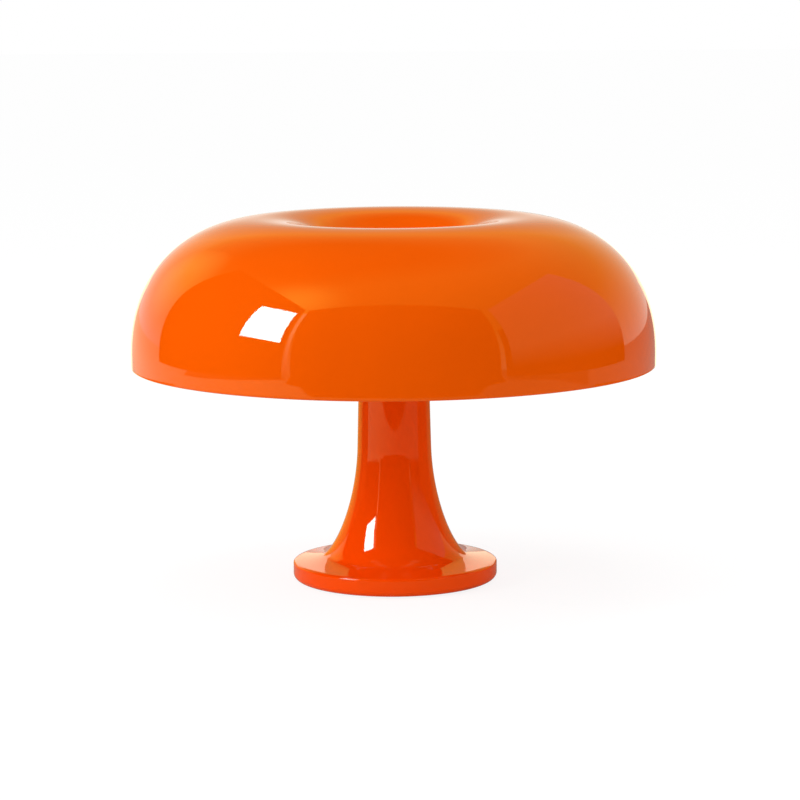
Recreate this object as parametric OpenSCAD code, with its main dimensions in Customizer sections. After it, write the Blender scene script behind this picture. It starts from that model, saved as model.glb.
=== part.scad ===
// Mushroom table lamp: a ring-shaped dome shade on a trumpet stem, with four bulbs under the dome.
// Millimetres. The origin is the centre of the base on the table, +Z is up and the cord leaves at +Y.

/* [Shade] */
// Outer diameter of the shade
shade_d = 320; // [300:1:360]
// Height of the crown's crest above the top of the stem
crown_rise = 93; // [89:0.5:110]
// Height of the shade's rim above the top of the stem
rim_rise = 3.5; // [-4:0.5:6]
// Straight wall above the rim, below the shoulder
skirt_h = 8.3; // [4:0.1:16]
// Upright pull of the shoulder's curve
shoulder_rise = 56.9; // [45:0.1:62]
// Level pull of the shoulder's curve, outside the crest
shoulder_run = 37.7; // [28:0.1:44]
// Diameter of the crown's crest
crest_d = 160; // [150:1:172]
// Wall of the shade
shade_wall = 3; // [2.2:0.1:3.4]
// Rounding of the rim's two edges
rim_round = 1.2; // [0.6:0.1:1.4]

/* [Crown well] */
// Inner diameter of the well at its floor
well_d = 68; // [62:1:72]
// Height of the well's floor above the top of the stem
well_floor_rise = 42; // [40:0.5:50]
// Rounding between the well's wall and floor
well_round = 6; // [3:0.5:9]
// Height of the well's upright wall
well_wall_h = 16; // [12:0.5:22]
// Level pull of the funnel's curve inside the crest
funnel_run = 30; // [22:0.5:36]
// Upright pull of the funnel's curve above the neck
funnel_rise = 24; // [16:0.5:28]

/* [Knob] */
// Diameter of the knob
knob_d = 36; // [30:1:42]
// Height of the knob
knob_h = 12.5; // [11:0.5:15]
// Rounding of the knob's top edge
knob_round = 3; // [1:0.5:4]
// Number of finger flutes round the knob
knob_flutes = 12; // [8:1:16]
// Depth of each flute
knob_flute_depth = 0.9; // [0.5:0.1:1.4]
// Thickness of the soft washer under the knob
knob_washer_t = 1.5; // [1:0.1:2]
// Depth of the brass insert in the knob
knob_insert_h = 9; // [7:0.5:10]

/* [Stem and base] */
// Diameter of the stem
stem_d = 44.4; // [43:0.1:48]
// Height of the top of the stem
stem_h = 130; // [128:0.5:131]
// Height at which the stem starts to flare
flare_h = 94.6; // [88:0.1:102]
// Upright pull of the flare's curve
flare_pull = 49.8; // [40:0.1:56]
// Diameter of the foot, where the flare meets the flange
foot_d = 90; // [88:0.5:96]
// Height of the flange's top at the foot
foot_h = 14.93; // [14.5:0.01:17]
// Level pull of the flare's curve at the foot
foot_pull = 7.6; // [5:0.1:12]
// Slope of the flange at the foot, in degrees
flange_slope = 12; // [8:0.5:14]
// Diameter of the base
base_d = 125.4; // [124:0.2:140]
// Height of the flange's top at its edge
base_edge_h = 11.7; // [11.5:0.1:12.5]
// Rounding under the base
base_round = 3.5; // [2:0.1:4]
// Gap between the moulding and the table
base_lift = 0.8; // [0.5:0.1:1.2]
// Wall of the stem and base moulding
stem_wall = 3; // [2.4:0.1:3.2]
// Width of the base's skirt at its bottom
skirt_wall = 4.5; // [4:0.1:5]
// Thickness of the deck at the top of the stem
deck_t = 4; // [3:0.5:6]

/* [Base fittings] */
// Thickness of the bottom cover
cover_t = 1.5; // [1.2:0.1:1.8]
// Thickness of the soft standing ring
pad_t = 1.6; // [1.4:0.1:2]
// Distance of the standing ring from the base's edge
pad_inset = 12.7; // [12:0.1:17]
// Width of the standing ring
pad_w = 12; // [8:0.5:16]
// Height of the top of the iron weight
ballast_top_h = 28; // [24:0.5:34]
// Number of cover screws
cover_screw_count = 3; // [3:1:4]
// Diameter of the supply cord that the gland takes
cord_d = 5; // [4.6:0.1:5.2]
// Height of the cord's axis
cord_h = 6.2; // [6.1:0.1:6.3]

/* [Tie rod] */
// Diameter of the threaded rod
rod_d = 8; // [7:0.5:8]
// Outer diameter of the spacer tube
tube_d = 14; // [13:0.5:16]
// Diameter of the shade's seat
seat_d = 44; // [36:1:50]
// Thickness of the shade's seat
seat_t = 3; // [2:0.5:3.5]
// Thickness of the seat's gasket
gasket_t = 1.5; // [1:0.1:2]

/* [Lampholders] */
// Upward tilt of the lampholders, in degrees
holder_tilt = 15; // [12:0.5:18]
// Distance from the axis of the lamp to each lampholder's back
holder_reach = 22; // [22:0.5:25]
// Height of the centre of each lampholder's back above the top of the stem
holder_rise = 16; // [15.5:0.1:16.5]
// Diameter of a lampholder
holder_d = 28; // [26:0.5:28]
// Length of a lampholder
holder_len = 44; // [42:0.5:46]
// Thickness of the pressed steel carrier
carrier_t = 1.5; // [1.2:0.1:1.8]

/* [Bulbs] */
// Diameter of a bulb's globe
globe_d = 45; // [35:1:46]
// Length of a bulb
bulb_len = 78; // [76:0.5:82]
// Diameter of a bulb's threaded cap
cap_d = 13.9; // [13.8:0.05:14]
// Length of a bulb's threaded cap
cap_len = 17; // [15:0.5:18]
// Wall of the bulb's glass
glass_t = 1; // [0.6:0.1:1.2]

/* [Leads] */
// Diameter of an internal lead
lead_d = 1.8; // [1.4:0.1:1.8]

/* [Hidden] */
orange = [0.95, 0.36, 0.02];
iron = [0.28, 0.28, 0.30];
zinc = [0.74, 0.75, 0.77];
brass = [0.80, 0.64, 0.30];
copper = [0.78, 0.62, 0.40];
black = [0.08, 0.08, 0.09];
ivory = [0.93, 0.91, 0.85];
glow_white = [0.96, 0.95, 0.90];

$fn = 96;
curve_steps = 18;
corner_steps = 5;
cut = 1;
slip = 0.05;
seat_gap = 0.3;
bulb_count = 4;
first_azimuth = 45;

shade_r = shade_d / 2;
crest_r = crest_d / 2;
well_r = well_d / 2;
stem_r = stem_d / 2;
foot_r = foot_d / 2;
base_r = base_d / 2;
rod_r = rod_d / 2;
rod_hole_r = rod_r + 0.5;
cord_r = cord_d / 2;
lead_r = lead_d / 2;

// Heights above the table of what stands on the stem
crown_h = stem_h + crown_rise;
rim_h = stem_h + rim_rise;
well_floor_h = stem_h + well_floor_rise;
well_neck_h = well_floor_h + well_wall_h;
holder_h = stem_h + holder_rise;

// Base stack, from the table up
cover_r = base_r - skirt_wall - seat_gap;
pad_r = base_r - pad_inset;
cover_top = pad_t + cover_t;
boss_r = 3.4;
boss_circle_r = base_r - skirt_wall - boss_r - 0.6;
boss_web_w = 4;
cover_screw_r = 1.45;
cover_screw_len = 7;
cover_head_r = 2.3;
ballast_r = boss_circle_r - boss_r - 0.5;
ballast_bottom = cover_top + seat_gap;
rod_bottom = cover_top + 0.9;

// Nuts and washers on the rod
nut_across_flats = rod_d + 5;
nut_corner_r = nut_across_flats / 2 / cos(30);
nut_h = 6.5;
washer_r = rod_d;
washer_t = 1.6;
rod_washer_h = rod_bottom + 0.9 + nut_h;
ballast_seat_h = rod_washer_h + washer_t;
ballast_counterbore_r = washer_r + 2.2;

// Deck stack, from the top of the stem up
carrier_top = stem_h + carrier_t;
deck_washer_top = carrier_top + washer_t;
deck_nut_top = deck_washer_top + nut_h;
well_floor_bottom = well_floor_h - shade_wall;
seat_top = well_floor_bottom - gasket_t;
seat_bottom = seat_top - seat_t;
tube_wall = 1.5;
knob_bottom = well_floor_h + knob_washer_t;
knob_top = knob_bottom + knob_h;
knob_insert_r = rod_r + 2.5;
rod_top = knob_bottom + knob_insert_h - 0.5;
knob_cap_t = 2;

// Wiring passage beside the rod
wire_y = rod_hole_r + 9;
sleeve_r = lead_d + 1.2;
sleeve_wall = 0.8;
grommet_r = sleeve_r + 1.5;
grommet_lip_r = grommet_r + 0.6;
grommet_lip_t = 1.2;
sleeve_top = carrier_top + 5.5;
lead_gap = 0.15;

// Connector block in the weight's pocket
pole_pitch = 8;
pole_count = 2;
block_len = 14;
block_h = 12;
block_front = wire_y + 5.5;
block_mid_y = block_front + block_len / 2;
pocket_roof = ballast_bottom + block_h + 1.6;
block_bottom = pocket_roof - block_h;
pole_h = block_bottom + 6;
pole_r = 2.4;
pole_bore_r = 1.6;
pole_end_gap = 1;
pole_screw_r = 1.4;
pole_screw_len = 4.3;
pole_screw_spread = 3.5;
block_screw_r = 1.2;
block_screw_len = 14;
pocket_w = pole_pitch * pole_count + 5;
pocket_front = wire_y - 3.5;
pocket_back = block_front + block_len + 1.5;

// Cord gland and clamp
gland_neck_r = cord_r + 1;
gland_collar_r = gland_neck_r + 1.5;
gland_tip_r = cord_r + 1.2;
gland_bore_r = cord_r + 0.1;
gland_inner_t = 3;
gland_nozzle_len = 5;
gland_inner_y = base_r - skirt_wall - 0.6;
gland_outer_y = base_r + slip;
cord_slot_w = cord_d + 3;
clamp_y = 39.5;
clamp_w = 7;
clamp_len = 25;
clamp_t = 2.3;
clamp_bottom = cord_h + cord_r - 0.6;
clamp_screw_x = 9;
clamp_screw_r = 1.5;
clamp_screw_len = 5.6;
clamp_head_r = 2.75;
clamp_head_h = 1.8;

// Lampholder, along its own axis from its back outwards
holder_r = holder_d / 2;
holder_wall = 2;
holder_cap_len = 14;
nipple_r = 5;
nipple_bore_r = 3.5;
nipple_out = 4.2;
nipple_in = 7;
holder_nut_r = 8;
holder_nut_t = 2.5;
terminal_h = 10;
terminal_t = 2;
terminal_w = 3;
terminal_len = 6;
insulator_top = 20;
contact_r = 3;
contact_t = 1.2;
shell_wall = 0.35;
shell_r = cap_d / 2 + seat_gap;
shell_start = 22;
shell_end = 40;
holder_mouth_r = 12;
ear_r = 12;
ear_drop = (holder_h - stem_h - carrier_t / 2) / cos(holder_tilt);
arm_end_r = holder_reach + ear_drop * sin(holder_tilt) - carrier_t * cos(holder_tilt);

// Bulb, along the same axis
bulb_tip = insulator_top + contact_t;
button_r = 2.3;
button_h = 0.8;
bulb_cone_h = 1.2;
cap_start = bulb_tip + button_h + bulb_cone_h;
cap_end = cap_start + cap_len;
globe_r = globe_d / 2;
globe_at = bulb_tip + bulb_len - globe_r;
cap_wall = 0.35;
cap_tip_r = cap_d / 2 - 0.4;
neck_len = 3;
globe_join_angle = 142;

// Points along a cubic curve, without its first point
function curve(a, b, c, d) = [for (i = [1:curve_steps]) let (t = i / curve_steps, s = 1 - t)
    s * s * s * a + 3 * s * s * t * b + 3 * s * t * t * c + t * t * t * d];

// Points along a quadratic curve, without its first point
function bow(a, b, c) = [for (i = [1:corner_steps]) let (t = i / corner_steps, s = 1 - t)
    s * s * a + 2 * s * t * b + t * t * c];

// Points along an arc
function arc(centre, r, from, to) = [for (i = [0:corner_steps])
    let (angle = from + (to - from) * i / corner_steps) centre + r * [cos(angle), sin(angle)]];

function backwards(points) = [for (i = [len(points) - 1:-1:0]) points[i]];

// A path moved sideways: a positive distance goes to the right of its direction
function beside(path, distance) = [for (i = [0:len(path) - 1])
    let (step = path[min(i + 1, len(path) - 1)] - path[max(i - 1, 0)])
    path[i] + distance * [step[1], -step[0]] / norm(step)];

// Height of a path at a radius, and its radius at a height
function height_at(path, r) = lookup(r, path);
function radius_at(path, h) = lookup(h, [for (p = path) [p[1], p[0]]]);

// Outer face of the shade, from the rim over the crest and down the well to the rod's hole
shoulder_start = [shade_r, rim_h + skirt_h];
crest = [crest_r, crown_h];
well_neck = [well_r, well_neck_h];
shade_face = concat(
    [[shade_r, rim_h + rim_round], shoulder_start],
    curve(shoulder_start, shoulder_start + [0, shoulder_rise], crest + [shoulder_run, 0], crest),
    curve(crest, crest - [funnel_run, 0], well_neck + [0, funnel_rise], well_neck),
    arc([well_r - well_round, well_floor_h + well_round], well_round, 0, -90),
    [[rod_hole_r, well_floor_h]]);

// Outer face of the stem and base, from the flange's edge up to the deck
flange_edge = [base_r, base_edge_h];
foot = [foot_r, foot_h];
flange_mid_r = (base_r + foot_r) / 2;
flange_mid = [flange_mid_r, foot_h - (flange_mid_r - foot_r) * tan(flange_slope)];
flare = [stem_r, flare_h];
stem_face = concat(
    [flange_edge],
    bow(flange_edge, flange_mid, foot),
    curve(foot, foot - foot_pull * [cos(flange_slope), -sin(flange_slope)],
        flare - [0, flare_pull], flare),
    [[stem_r, stem_h]]);
stem_inside = beside(stem_face, -stem_wall);
ballast_face = beside(stem_face, -stem_wall - seat_gap);

module shade() {
    inner_face = beside(shade_face, -shade_wall);
    outer_lip = arc([shade_r - rim_round, rim_h + rim_round], rim_round, -90, 0);
    inner_lip = arc([shade_r - shade_wall + rim_round, rim_h + rim_round], rim_round, -180, -90);
    color(orange) rotate_extrude()
        polygon(concat(shade_face, backwards(inner_face), inner_lip, outer_lip));
}

module shade_knob() {
    flute_r = 4;
    color(orange) difference() {
        rotate_extrude() polygon(concat(
            [[0, knob_bottom], [knob_d / 2 - 1, knob_bottom], [knob_d / 2, knob_bottom + 1]],
            arc([knob_d / 2 - knob_round, knob_top - knob_round], knob_round, 0, 90),
            [[0, knob_top]]));
        translate([0, 0, knob_bottom - cut])
            cylinder(r = knob_insert_r + slip, h = knob_insert_h + cut);
        translate([0, 0, knob_bottom]) cylinder(r = rod_hole_r, h = knob_h - knob_cap_t);
        for (i = [0:knob_flutes - 1]) rotate([0, 0, 360 / knob_flutes * i])
            translate([knob_d / 2 + flute_r - knob_flute_depth, 0, knob_bottom - cut])
            cylinder(r = flute_r, h = knob_h + 2 * cut);
    }
}

module knob_insert() {
    color(brass) translate([0, 0, knob_bottom]) difference() {
        cylinder(r = knob_insert_r, h = knob_insert_h);
        translate([0, 0, -cut]) cylinder(r = rod_r + slip, h = knob_insert_h + 2 * cut);
    }
}

// A flat ring about the lamp's axis
module ring(r, bore_r, bottom, t) {
    translate([0, 0, bottom]) difference() {
        cylinder(r = r, h = t);
        translate([0, 0, -cut]) cylinder(r = bore_r, h = t + 2 * cut);
    }
}

module knob_washer() {
    color(ivory) ring(knob_d / 2 - 3, rod_hole_r, well_floor_h, knob_washer_t);
}

module stem_base() {
    skirt_inner_r = base_r - skirt_wall;
    cavity = [for (p = stem_inside) if (p[0] < skirt_inner_r && p[1] < stem_h - deck_t) p];
    edge_round = 0.5;
    edge_turn = 70;
    color(orange) difference() {
        union() {
            difference() {
                rotate_extrude() polygon(concat(
                    [[0, base_lift]],
                    arc([base_r - base_round, base_lift + base_round], base_round, -90, 0),
                    arc([base_r - edge_round, base_edge_h - edge_round], edge_round, 0, edge_turn),
                    [for (i = [1:len(stem_face) - 2]) stem_face[i]],
                    arc([stem_r - 1, stem_h - 1], 1, 0, 90),
                    [[0, stem_h]]));
                rotate_extrude() polygon(concat(
                    [[0, -cut], [skirt_inner_r, -cut], [skirt_inner_r, height_at(stem_inside, skirt_inner_r)]],
                    cavity,
                    [[stem_r - stem_wall, stem_h - deck_t], [0, stem_h - deck_t]]));
            }
            at_cover_screws() {
                translate([0, 0, cover_top])
                    cylinder(r = boss_r, h = base_edge_h - stem_wall - cover_top + 0.5);
                translate([0, -boss_web_w / 2, cover_top])
                    cube([boss_r + 1, boss_web_w, base_edge_h - stem_wall - cover_top]);
            }
        }
        at_cover_screws() cylinder(r = cover_screw_r + slip, h = pad_t + cover_screw_len + 0.4);
        gland_notch();
        translate([0, 0, stem_h - deck_t - cut]) cylinder(r = rod_r + 0.25, h = deck_t + 2 * cut);
        translate([0, wire_y, stem_h - deck_t - cut]) cylinder(r = grommet_r + slip, h = deck_t + 2 * cut);
    }
}

module at_cover_screws() {
    for (i = [0:cover_screw_count - 1]) rotate([0, 0, -90 + 360 / cover_screw_count * i])
        translate([boss_circle_r, 0, 0]) children();
}

// The notch in the skirt, open downwards, that takes the gland's neck
module gland_notch() {
    depth = skirt_wall + 4;
    notch_r = gland_neck_r + slip;
    translate([0, base_r - skirt_wall - 2, cord_h]) rotate([-90, 0, 0]) cylinder(r = notch_r, h = depth);
    translate([-notch_r, base_r - skirt_wall - 2, -cut]) cube([2 * notch_r, depth, cord_h + cut]);
}

module ballast_weight() {
    top_r = radius_at(ballast_face, ballast_top_h);
    side = [for (p = ballast_face) if (p[0] < ballast_r && p[1] < ballast_top_h) p];
    color(iron) difference() {
        rotate_extrude() polygon(concat(
            [[0, ballast_bottom], [ballast_r, ballast_bottom], [ballast_r, height_at(ballast_face, ballast_r)]],
            side,
            [[top_r, ballast_top_h], [0, ballast_top_h]]));
        cylinder(r = rod_hole_r, h = ballast_top_h + cut);
        translate([0, 0, ballast_bottom - cut])
            cylinder(r = ballast_counterbore_r, h = ballast_seat_h - ballast_bottom + cut);
        translate([0, wire_y, 0]) cylinder(r = sleeve_r + 0.5, h = ballast_top_h + cut);
        translate([-pocket_w / 2, pocket_front, ballast_bottom - cut])
            cube([pocket_w, pocket_back - pocket_front, pocket_roof - ballast_bottom + cut]);
        translate([-cord_slot_w / 2, pocket_back - cut, ballast_bottom - cut])
            cube([cord_slot_w, ballast_r, ballast_top_h]);
        translate([-clamp_len / 2 - 0.5, clamp_y - clamp_w / 2 - 0.3, clamp_bottom])
            cube([clamp_len + 1, clamp_w + 0.6, ballast_top_h]);
        for (side_x = [-clamp_screw_x, clamp_screw_x])
            translate([side_x, clamp_y, clamp_bottom - clamp_screw_len + clamp_t - 0.4])
            cylinder(r = clamp_screw_r + slip, h = clamp_screw_len + clamp_t);
        translate([0, block_mid_y, pocket_roof - cut])
            cylinder(r = block_screw_r + slip, h = block_screw_len - block_h + 2 * cut);
    }
}

module base_cover() {
    color(iron) difference() {
        translate([0, 0, pad_t]) cylinder(r = cover_r, h = cover_t);
        at_cover_screws() {
            cylinder(r = cover_screw_r + 0.15, h = cover_top + cut);
            translate([0, 0, pad_t]) cylinder(r1 = cover_head_r, r2 = cover_screw_r, h = cover_t * 0.6);
            translate([0, 0, pad_t - cut]) cylinder(r = cover_head_r, h = cut);
        }
    }
}

module base_pad_ring() {
    color(black) ring(pad_r, pad_r - pad_w, 0, pad_t);
}

module cover_screws() {
    head_h = cover_t * 0.6;
    color(zinc) at_cover_screws() difference() {
        union() {
            translate([0, 0, pad_t]) cylinder(r1 = cover_head_r - slip, r2 = cover_screw_r - slip, h = head_h);
            translate([0, 0, pad_t]) cylinder(r = cover_screw_r, h = cover_screw_len);
        }
        translate([0, 0, pad_t]) cross_slot(2.6, 0.6, 0.5);
    }
}

// The two crossed slots that a driver fits, cut upwards from a screw's face
module cross_slot(length, width, depth) {
    for (turn = [0, 90]) rotate([0, 0, turn])
        translate([-length / 2, -width / 2, -cut]) cube([length, width, depth + cut]);
}

module cord_gland() {
    along = [0, 0, cord_h];
    length = gland_outer_y + gland_nozzle_len - gland_inner_y + gland_inner_t;
    neck_start = gland_inner_t;
    neck_end = gland_inner_t + gland_outer_y - gland_inner_y;
    ceiling = height_at(stem_inside, base_r - skirt_wall) - 0.1;
    color(black) difference() {
        union() {
            translate(along + [0, gland_inner_y - gland_inner_t, 0]) rotate([-90, 0, 0]) rotate_extrude()
                polygon([[0, 0], [gland_collar_r - 0.8, 0], [gland_collar_r, 0.8],
                    [gland_collar_r, neck_start], [gland_neck_r, neck_start],
                    [gland_neck_r, neck_end], [gland_collar_r, neck_end],
                    [gland_collar_r, neck_end + 1], [gland_tip_r, length], [0, length]]);
            translate([-gland_neck_r, gland_inner_y, base_lift + 0.3])
                cube([2 * gland_neck_r, gland_outer_y - gland_inner_y + slip, cord_h - base_lift - 0.3]);
        }
        translate([-gland_collar_r, gland_inner_y - gland_inner_t - cut, -cut])
            cube([2 * gland_collar_r, cover_r + 0.2 - gland_inner_y + gland_inner_t + cut, cover_top + 0.1 + cut]);
        translate([-gland_collar_r, gland_inner_y - gland_inner_t - cut, ceiling])
            cube([2 * gland_collar_r, base_r - skirt_wall + 0.2 - gland_inner_y + gland_inner_t + cut, base_edge_h]);
        translate(along + [0, gland_inner_y - gland_inner_t - cut, 0]) rotate([-90, 0, 0])
            cylinder(r = gland_bore_r, h = length + 2 * cut);
    }
}

module cord_clamp() {
    color(black) difference() {
        translate([-clamp_len / 2, clamp_y - clamp_w / 2, clamp_bottom]) cube([clamp_len, clamp_w, clamp_t]);
        translate([0, clamp_y - clamp_w, cord_h]) rotate([-90, 0, 0]) cylinder(r = cord_r, h = 2 * clamp_w);
        for (side_x = [-clamp_screw_x, clamp_screw_x]) translate([side_x, clamp_y, clamp_bottom - cut])
            cylinder(r = clamp_screw_r + 0.1, h = clamp_t + 2 * cut);
    }
}

module cord_clamp_screws() {
    head_bottom = clamp_bottom + clamp_t;
    color(zinc) for (side_x = [-clamp_screw_x, clamp_screw_x]) translate([side_x, clamp_y, head_bottom])
        difference() {
            union() {
                cylinder(r = clamp_head_r, h = clamp_head_h);
                translate([0, 0, -clamp_screw_len]) cylinder(r = clamp_screw_r, h = clamp_screw_len + 0.1);
            }
            translate([-clamp_head_r, -0.4, clamp_head_h - 0.9]) cube([2 * clamp_head_r, 0.8, 2]);
        }
}

pole_xs = [for (i = [0:pole_count - 1]) (i - (pole_count - 1) / 2) * pole_pitch];
pole_screw_ys = [block_mid_y - pole_screw_spread, block_mid_y + pole_screw_spread];

module terminal_block() {
    color(ivory) difference() {
        union() {
            translate([-pole_pitch * pole_count / 2, block_front, block_bottom + 4])
                cube([pole_pitch * pole_count, block_len, block_h - 4]);
            for (x = pole_xs, y = pole_screw_ys) translate([x, y, block_bottom])
                cylinder(r = pole_screw_r + 1.6, h = block_h / 2);
        }
        for (x = pole_xs) {
            translate([x, block_front - cut, pole_h]) rotate([-90, 0, 0])
                cylinder(r = pole_r + slip, h = block_len + 2 * cut);
            for (y = pole_screw_ys) translate([x, y, block_bottom - cut])
                cylinder(r = pole_screw_r + 0.4, h = pole_h - block_bottom);
        }
        translate([0, block_mid_y, block_bottom]) cylinder(r = block_screw_r + 0.1, h = block_h + cut);
    }
}

module terminal_sleeves() {
    color(brass) for (x = pole_xs) difference() {
        translate([x, block_front + pole_end_gap, pole_h]) rotate([-90, 0, 0])
            cylinder(r = pole_r, h = block_len - 2 * pole_end_gap);
        translate([x, block_front, pole_h]) rotate([-90, 0, 0]) cylinder(r = pole_bore_r, h = block_len);
        for (y = pole_screw_ys) translate([x, y, block_bottom])
            cylinder(r = pole_screw_r + slip, h = pole_h - block_bottom);
    }
}

module terminal_screws() {
    bottom = pole_h - lead_r - slip - pole_screw_len;
    color(zinc) for (x = pole_xs, y = pole_screw_ys) translate([x, y, bottom]) difference() {
        cylinder(r = pole_screw_r, h = pole_screw_len);
        translate([-pole_screw_r - cut, -0.3, -cut]) cube([2 * pole_screw_r + 2 * cut, 0.6, cut + 0.8]);
    }
}

module block_screw() {
    head_t = 1.2;
    head_r = 2.2;
    body_bottom = block_bottom + 4;
    color(zinc) translate([0, block_mid_y, body_bottom - head_t]) difference() {
        union() {
            cylinder(r = head_r, h = head_t);
            cylinder(r = block_screw_r, h = head_t + block_screw_len - 4);
        }
        translate([-head_r - cut, -0.3, -cut]) cube([2 * head_r + 2 * cut, 0.6, cut + 0.6]);
    }
}

module tie_rod() {
    color(zinc) translate([0, 0, rod_bottom]) cylinder(r = rod_r, h = rod_top - rod_bottom);
}

// A hexagon nut on the rod
module rod_nut(bottom) {
    translate([0, 0, bottom]) difference() {
        cylinder(r = nut_corner_r, h = nut_h, $fn = 6);
        translate([0, 0, -cut]) cylinder(r = rod_r + slip, h = nut_h + 2 * cut);
    }
}

module tie_rod_nut() {
    color(zinc) rod_nut(rod_washer_h - nut_h);
}

module tie_rod_washer() {
    color(zinc) ring(washer_r, rod_r + 0.2, rod_washer_h, washer_t);
}

module deck_nut() {
    color(zinc) rod_nut(deck_washer_top);
}

module deck_washer() {
    color(zinc) ring(washer_r, rod_r + 0.2, carrier_top, washer_t);
}

// Places a lampholder's own frame: its Z runs outwards along the holder, its X points down
module at_holder(i) {
    rotate([0, 0, first_azimuth + 360 / bulb_count * i]) translate([holder_reach, 0, holder_h])
        rotate([0, 90 - holder_tilt, 0]) children();
}

module at_holders() {
    for (i = [0:bulb_count - 1]) at_holder(i) children();
}

module lampholder_carrier() {
    color(zinc) difference() {
        union() {
            for (i = [0:bulb_count - 1]) rotate([0, 0, first_azimuth + 360 / bulb_count * i])
                translate([0, -ear_r, stem_h]) cube([arm_end_r, 2 * ear_r, carrier_t]);
            at_holders() translate([0, 0, -carrier_t]) {
                cylinder(r = ear_r, h = carrier_t);
                translate([0, -ear_r, 0]) cube([ear_drop, 2 * ear_r, carrier_t]);
            }
        }
        translate([0, 0, stem_h - cut]) cylinder(r = rod_r + 0.25, h = carrier_t + 2 * cut);
        translate([0, wire_y, stem_h - cut]) cylinder(r = grommet_r + slip, h = carrier_t + 2 * cut);
        at_holders() translate([0, 0, -carrier_t - cut]) cylinder(r = nipple_r + 0.1, h = carrier_t + 2 * cut);
    }
}

module deck_grommet() {
    lip_bottom = stem_h - deck_t - grommet_lip_t;
    neck_h = deck_t + carrier_t;
    color(black) translate([0, wire_y, lip_bottom]) rotate_extrude() polygon([
        [sleeve_r + slip, 0], [grommet_lip_r, 0], [grommet_lip_r, grommet_lip_t],
        [grommet_r, grommet_lip_t], [grommet_r, grommet_lip_t + neck_h],
        [grommet_lip_r, grommet_lip_t + neck_h], [grommet_lip_r, 2 * grommet_lip_t + neck_h],
        [sleeve_r + slip, 2 * grommet_lip_t + neck_h]]);
}

module support_tube() {
    color(zinc) ring(tube_d / 2, tube_d / 2 - tube_wall, deck_nut_top, seat_bottom - deck_nut_top);
}

module shade_seat() {
    color(zinc) ring(seat_d / 2, rod_r + 0.2, seat_bottom, seat_t);
}

module seat_gasket() {
    color(black) ring(seat_d / 2 - 1, rod_r + 4, seat_top, gasket_t);
}

module holder_nipples() {
    color(zinc) at_holders() translate([0, 0, -nipple_out]) difference() {
        cylinder(r = nipple_r, h = nipple_out + nipple_in);
        translate([0, 0, -cut]) cylinder(r = nipple_bore_r, h = nipple_out + nipple_in + 2 * cut);
    }
}

module holder_nuts() {
    color(zinc) at_holders() translate([0, 0, -carrier_t - holder_nut_t]) difference() {
        cylinder(r = holder_nut_r, h = holder_nut_t, $fn = 6);
        translate([0, 0, -cut]) cylinder(r = nipple_r + slip, h = holder_nut_t + 2 * cut);
    }
}

module lampholder_caps() {
    color(ivory) at_holders() difference() {
        rotate_extrude() polygon([[0, 0], [holder_r - 3, 0], [holder_r, 3],
            [holder_r, holder_cap_len], [0, holder_cap_len]]);
        translate([0, 0, holder_wall]) cylinder(r = holder_r - holder_wall, h = holder_cap_len);
        translate([0, 0, -cut]) cylinder(r = nipple_r + slip, h = holder_wall + 2 * cut);
    }
}

module lampholder_bodies() {
    bore_r = shell_r + shell_wall + slip;
    color(ivory) at_holders() rotate_extrude() polygon([
        [bore_r, insulator_top], [holder_r - holder_wall, insulator_top],
        [holder_r - holder_wall, holder_cap_len], [holder_r, holder_cap_len],
        [holder_r, holder_len - 1], [holder_r - 1, holder_len],
        [holder_mouth_r, holder_len], [holder_mouth_r, shell_end + 0.5], [bore_r, shell_end + 0.5]]);
}

module holder_insulators() {
    color(ivory) at_holders() translate([0, 0, terminal_h + terminal_t])
        cylinder(r = holder_r - holder_wall - slip, h = insulator_top - terminal_h - terminal_t);
}

module holder_screw_shells() {
    flange_t = shell_start - insulator_top;
    color(copper) at_holders() translate([0, 0, insulator_top]) difference() {
        cylinder(r = shell_r + shell_wall, h = shell_end - insulator_top);
        translate([0, 0, flange_t]) cylinder(r = shell_r, h = shell_end);
        translate([0, 0, -cut]) cylinder(r = shell_r - 1.2, h = shell_end);
    }
}

module holder_contacts() {
    color(brass) at_holders() translate([0, 0, insulator_top]) cylinder(r = contact_r, h = contact_t);
}

// The terminal plates on the back of each insulator, one for each pole
module holder_terminals() {
    color(brass) at_holders() for (side = [-1, 1])
        translate([-terminal_len / 2, side * lead_spread - terminal_w / 2, terminal_h])
        cube([terminal_len, terminal_w, terminal_t]);
}

module lead_sleeve() {
    bottom = pocket_roof + 0.5;
    color(ivory) translate([0, wire_y, bottom]) difference() {
        cylinder(r = sleeve_r, h = sleeve_top - bottom);
        translate([0, 0, -cut]) cylinder(r = sleeve_r - sleeve_wall, h = sleeve_top - bottom + 2 * cut);
    }
}

// Routes of the leads: points chosen along the way, joined by a smooth curve
lead_spread = 1.75;
lead_steps = 4;
lead_sides = 8;

// A point given in a lampholder's own frame (down, sideways, outwards), in the lamp's frame
function holder_point(i, down, side, out) =
    let (azimuth = first_azimuth + 360 / bulb_count * i,
        r = holder_reach + out * cos(holder_tilt) + down * sin(holder_tilt),
        z = holder_h + out * sin(holder_tilt) - down * cos(holder_tilt))
    [r * cos(azimuth) - side * sin(azimuth), r * sin(azimuth) + side * cos(azimuth), z];

function round_point(r, azimuth, z) = [r * cos(azimuth), r * sin(azimuth), z];

function unit(v) = v / norm(v);

// A smooth curve through the given points, which keeps straight end stretches straight
function smooth(points) = concat([for (i = [0:len(points) - 2], k = [0:lead_steps - 1])
    let (a = points[max(i - 1, 0)], b = points[i], c = points[i + 1],
        d = points[min(i + 2, len(points) - 1)], t = k / lead_steps)
    b + t * (c - a) / 2 + t * t * (a - 2.5 * b + 2 * c - d / 2)
        + t * t * t * (-a + 3 * b - 3 * c + d) / 2], [points[len(points) - 1]]);

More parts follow.
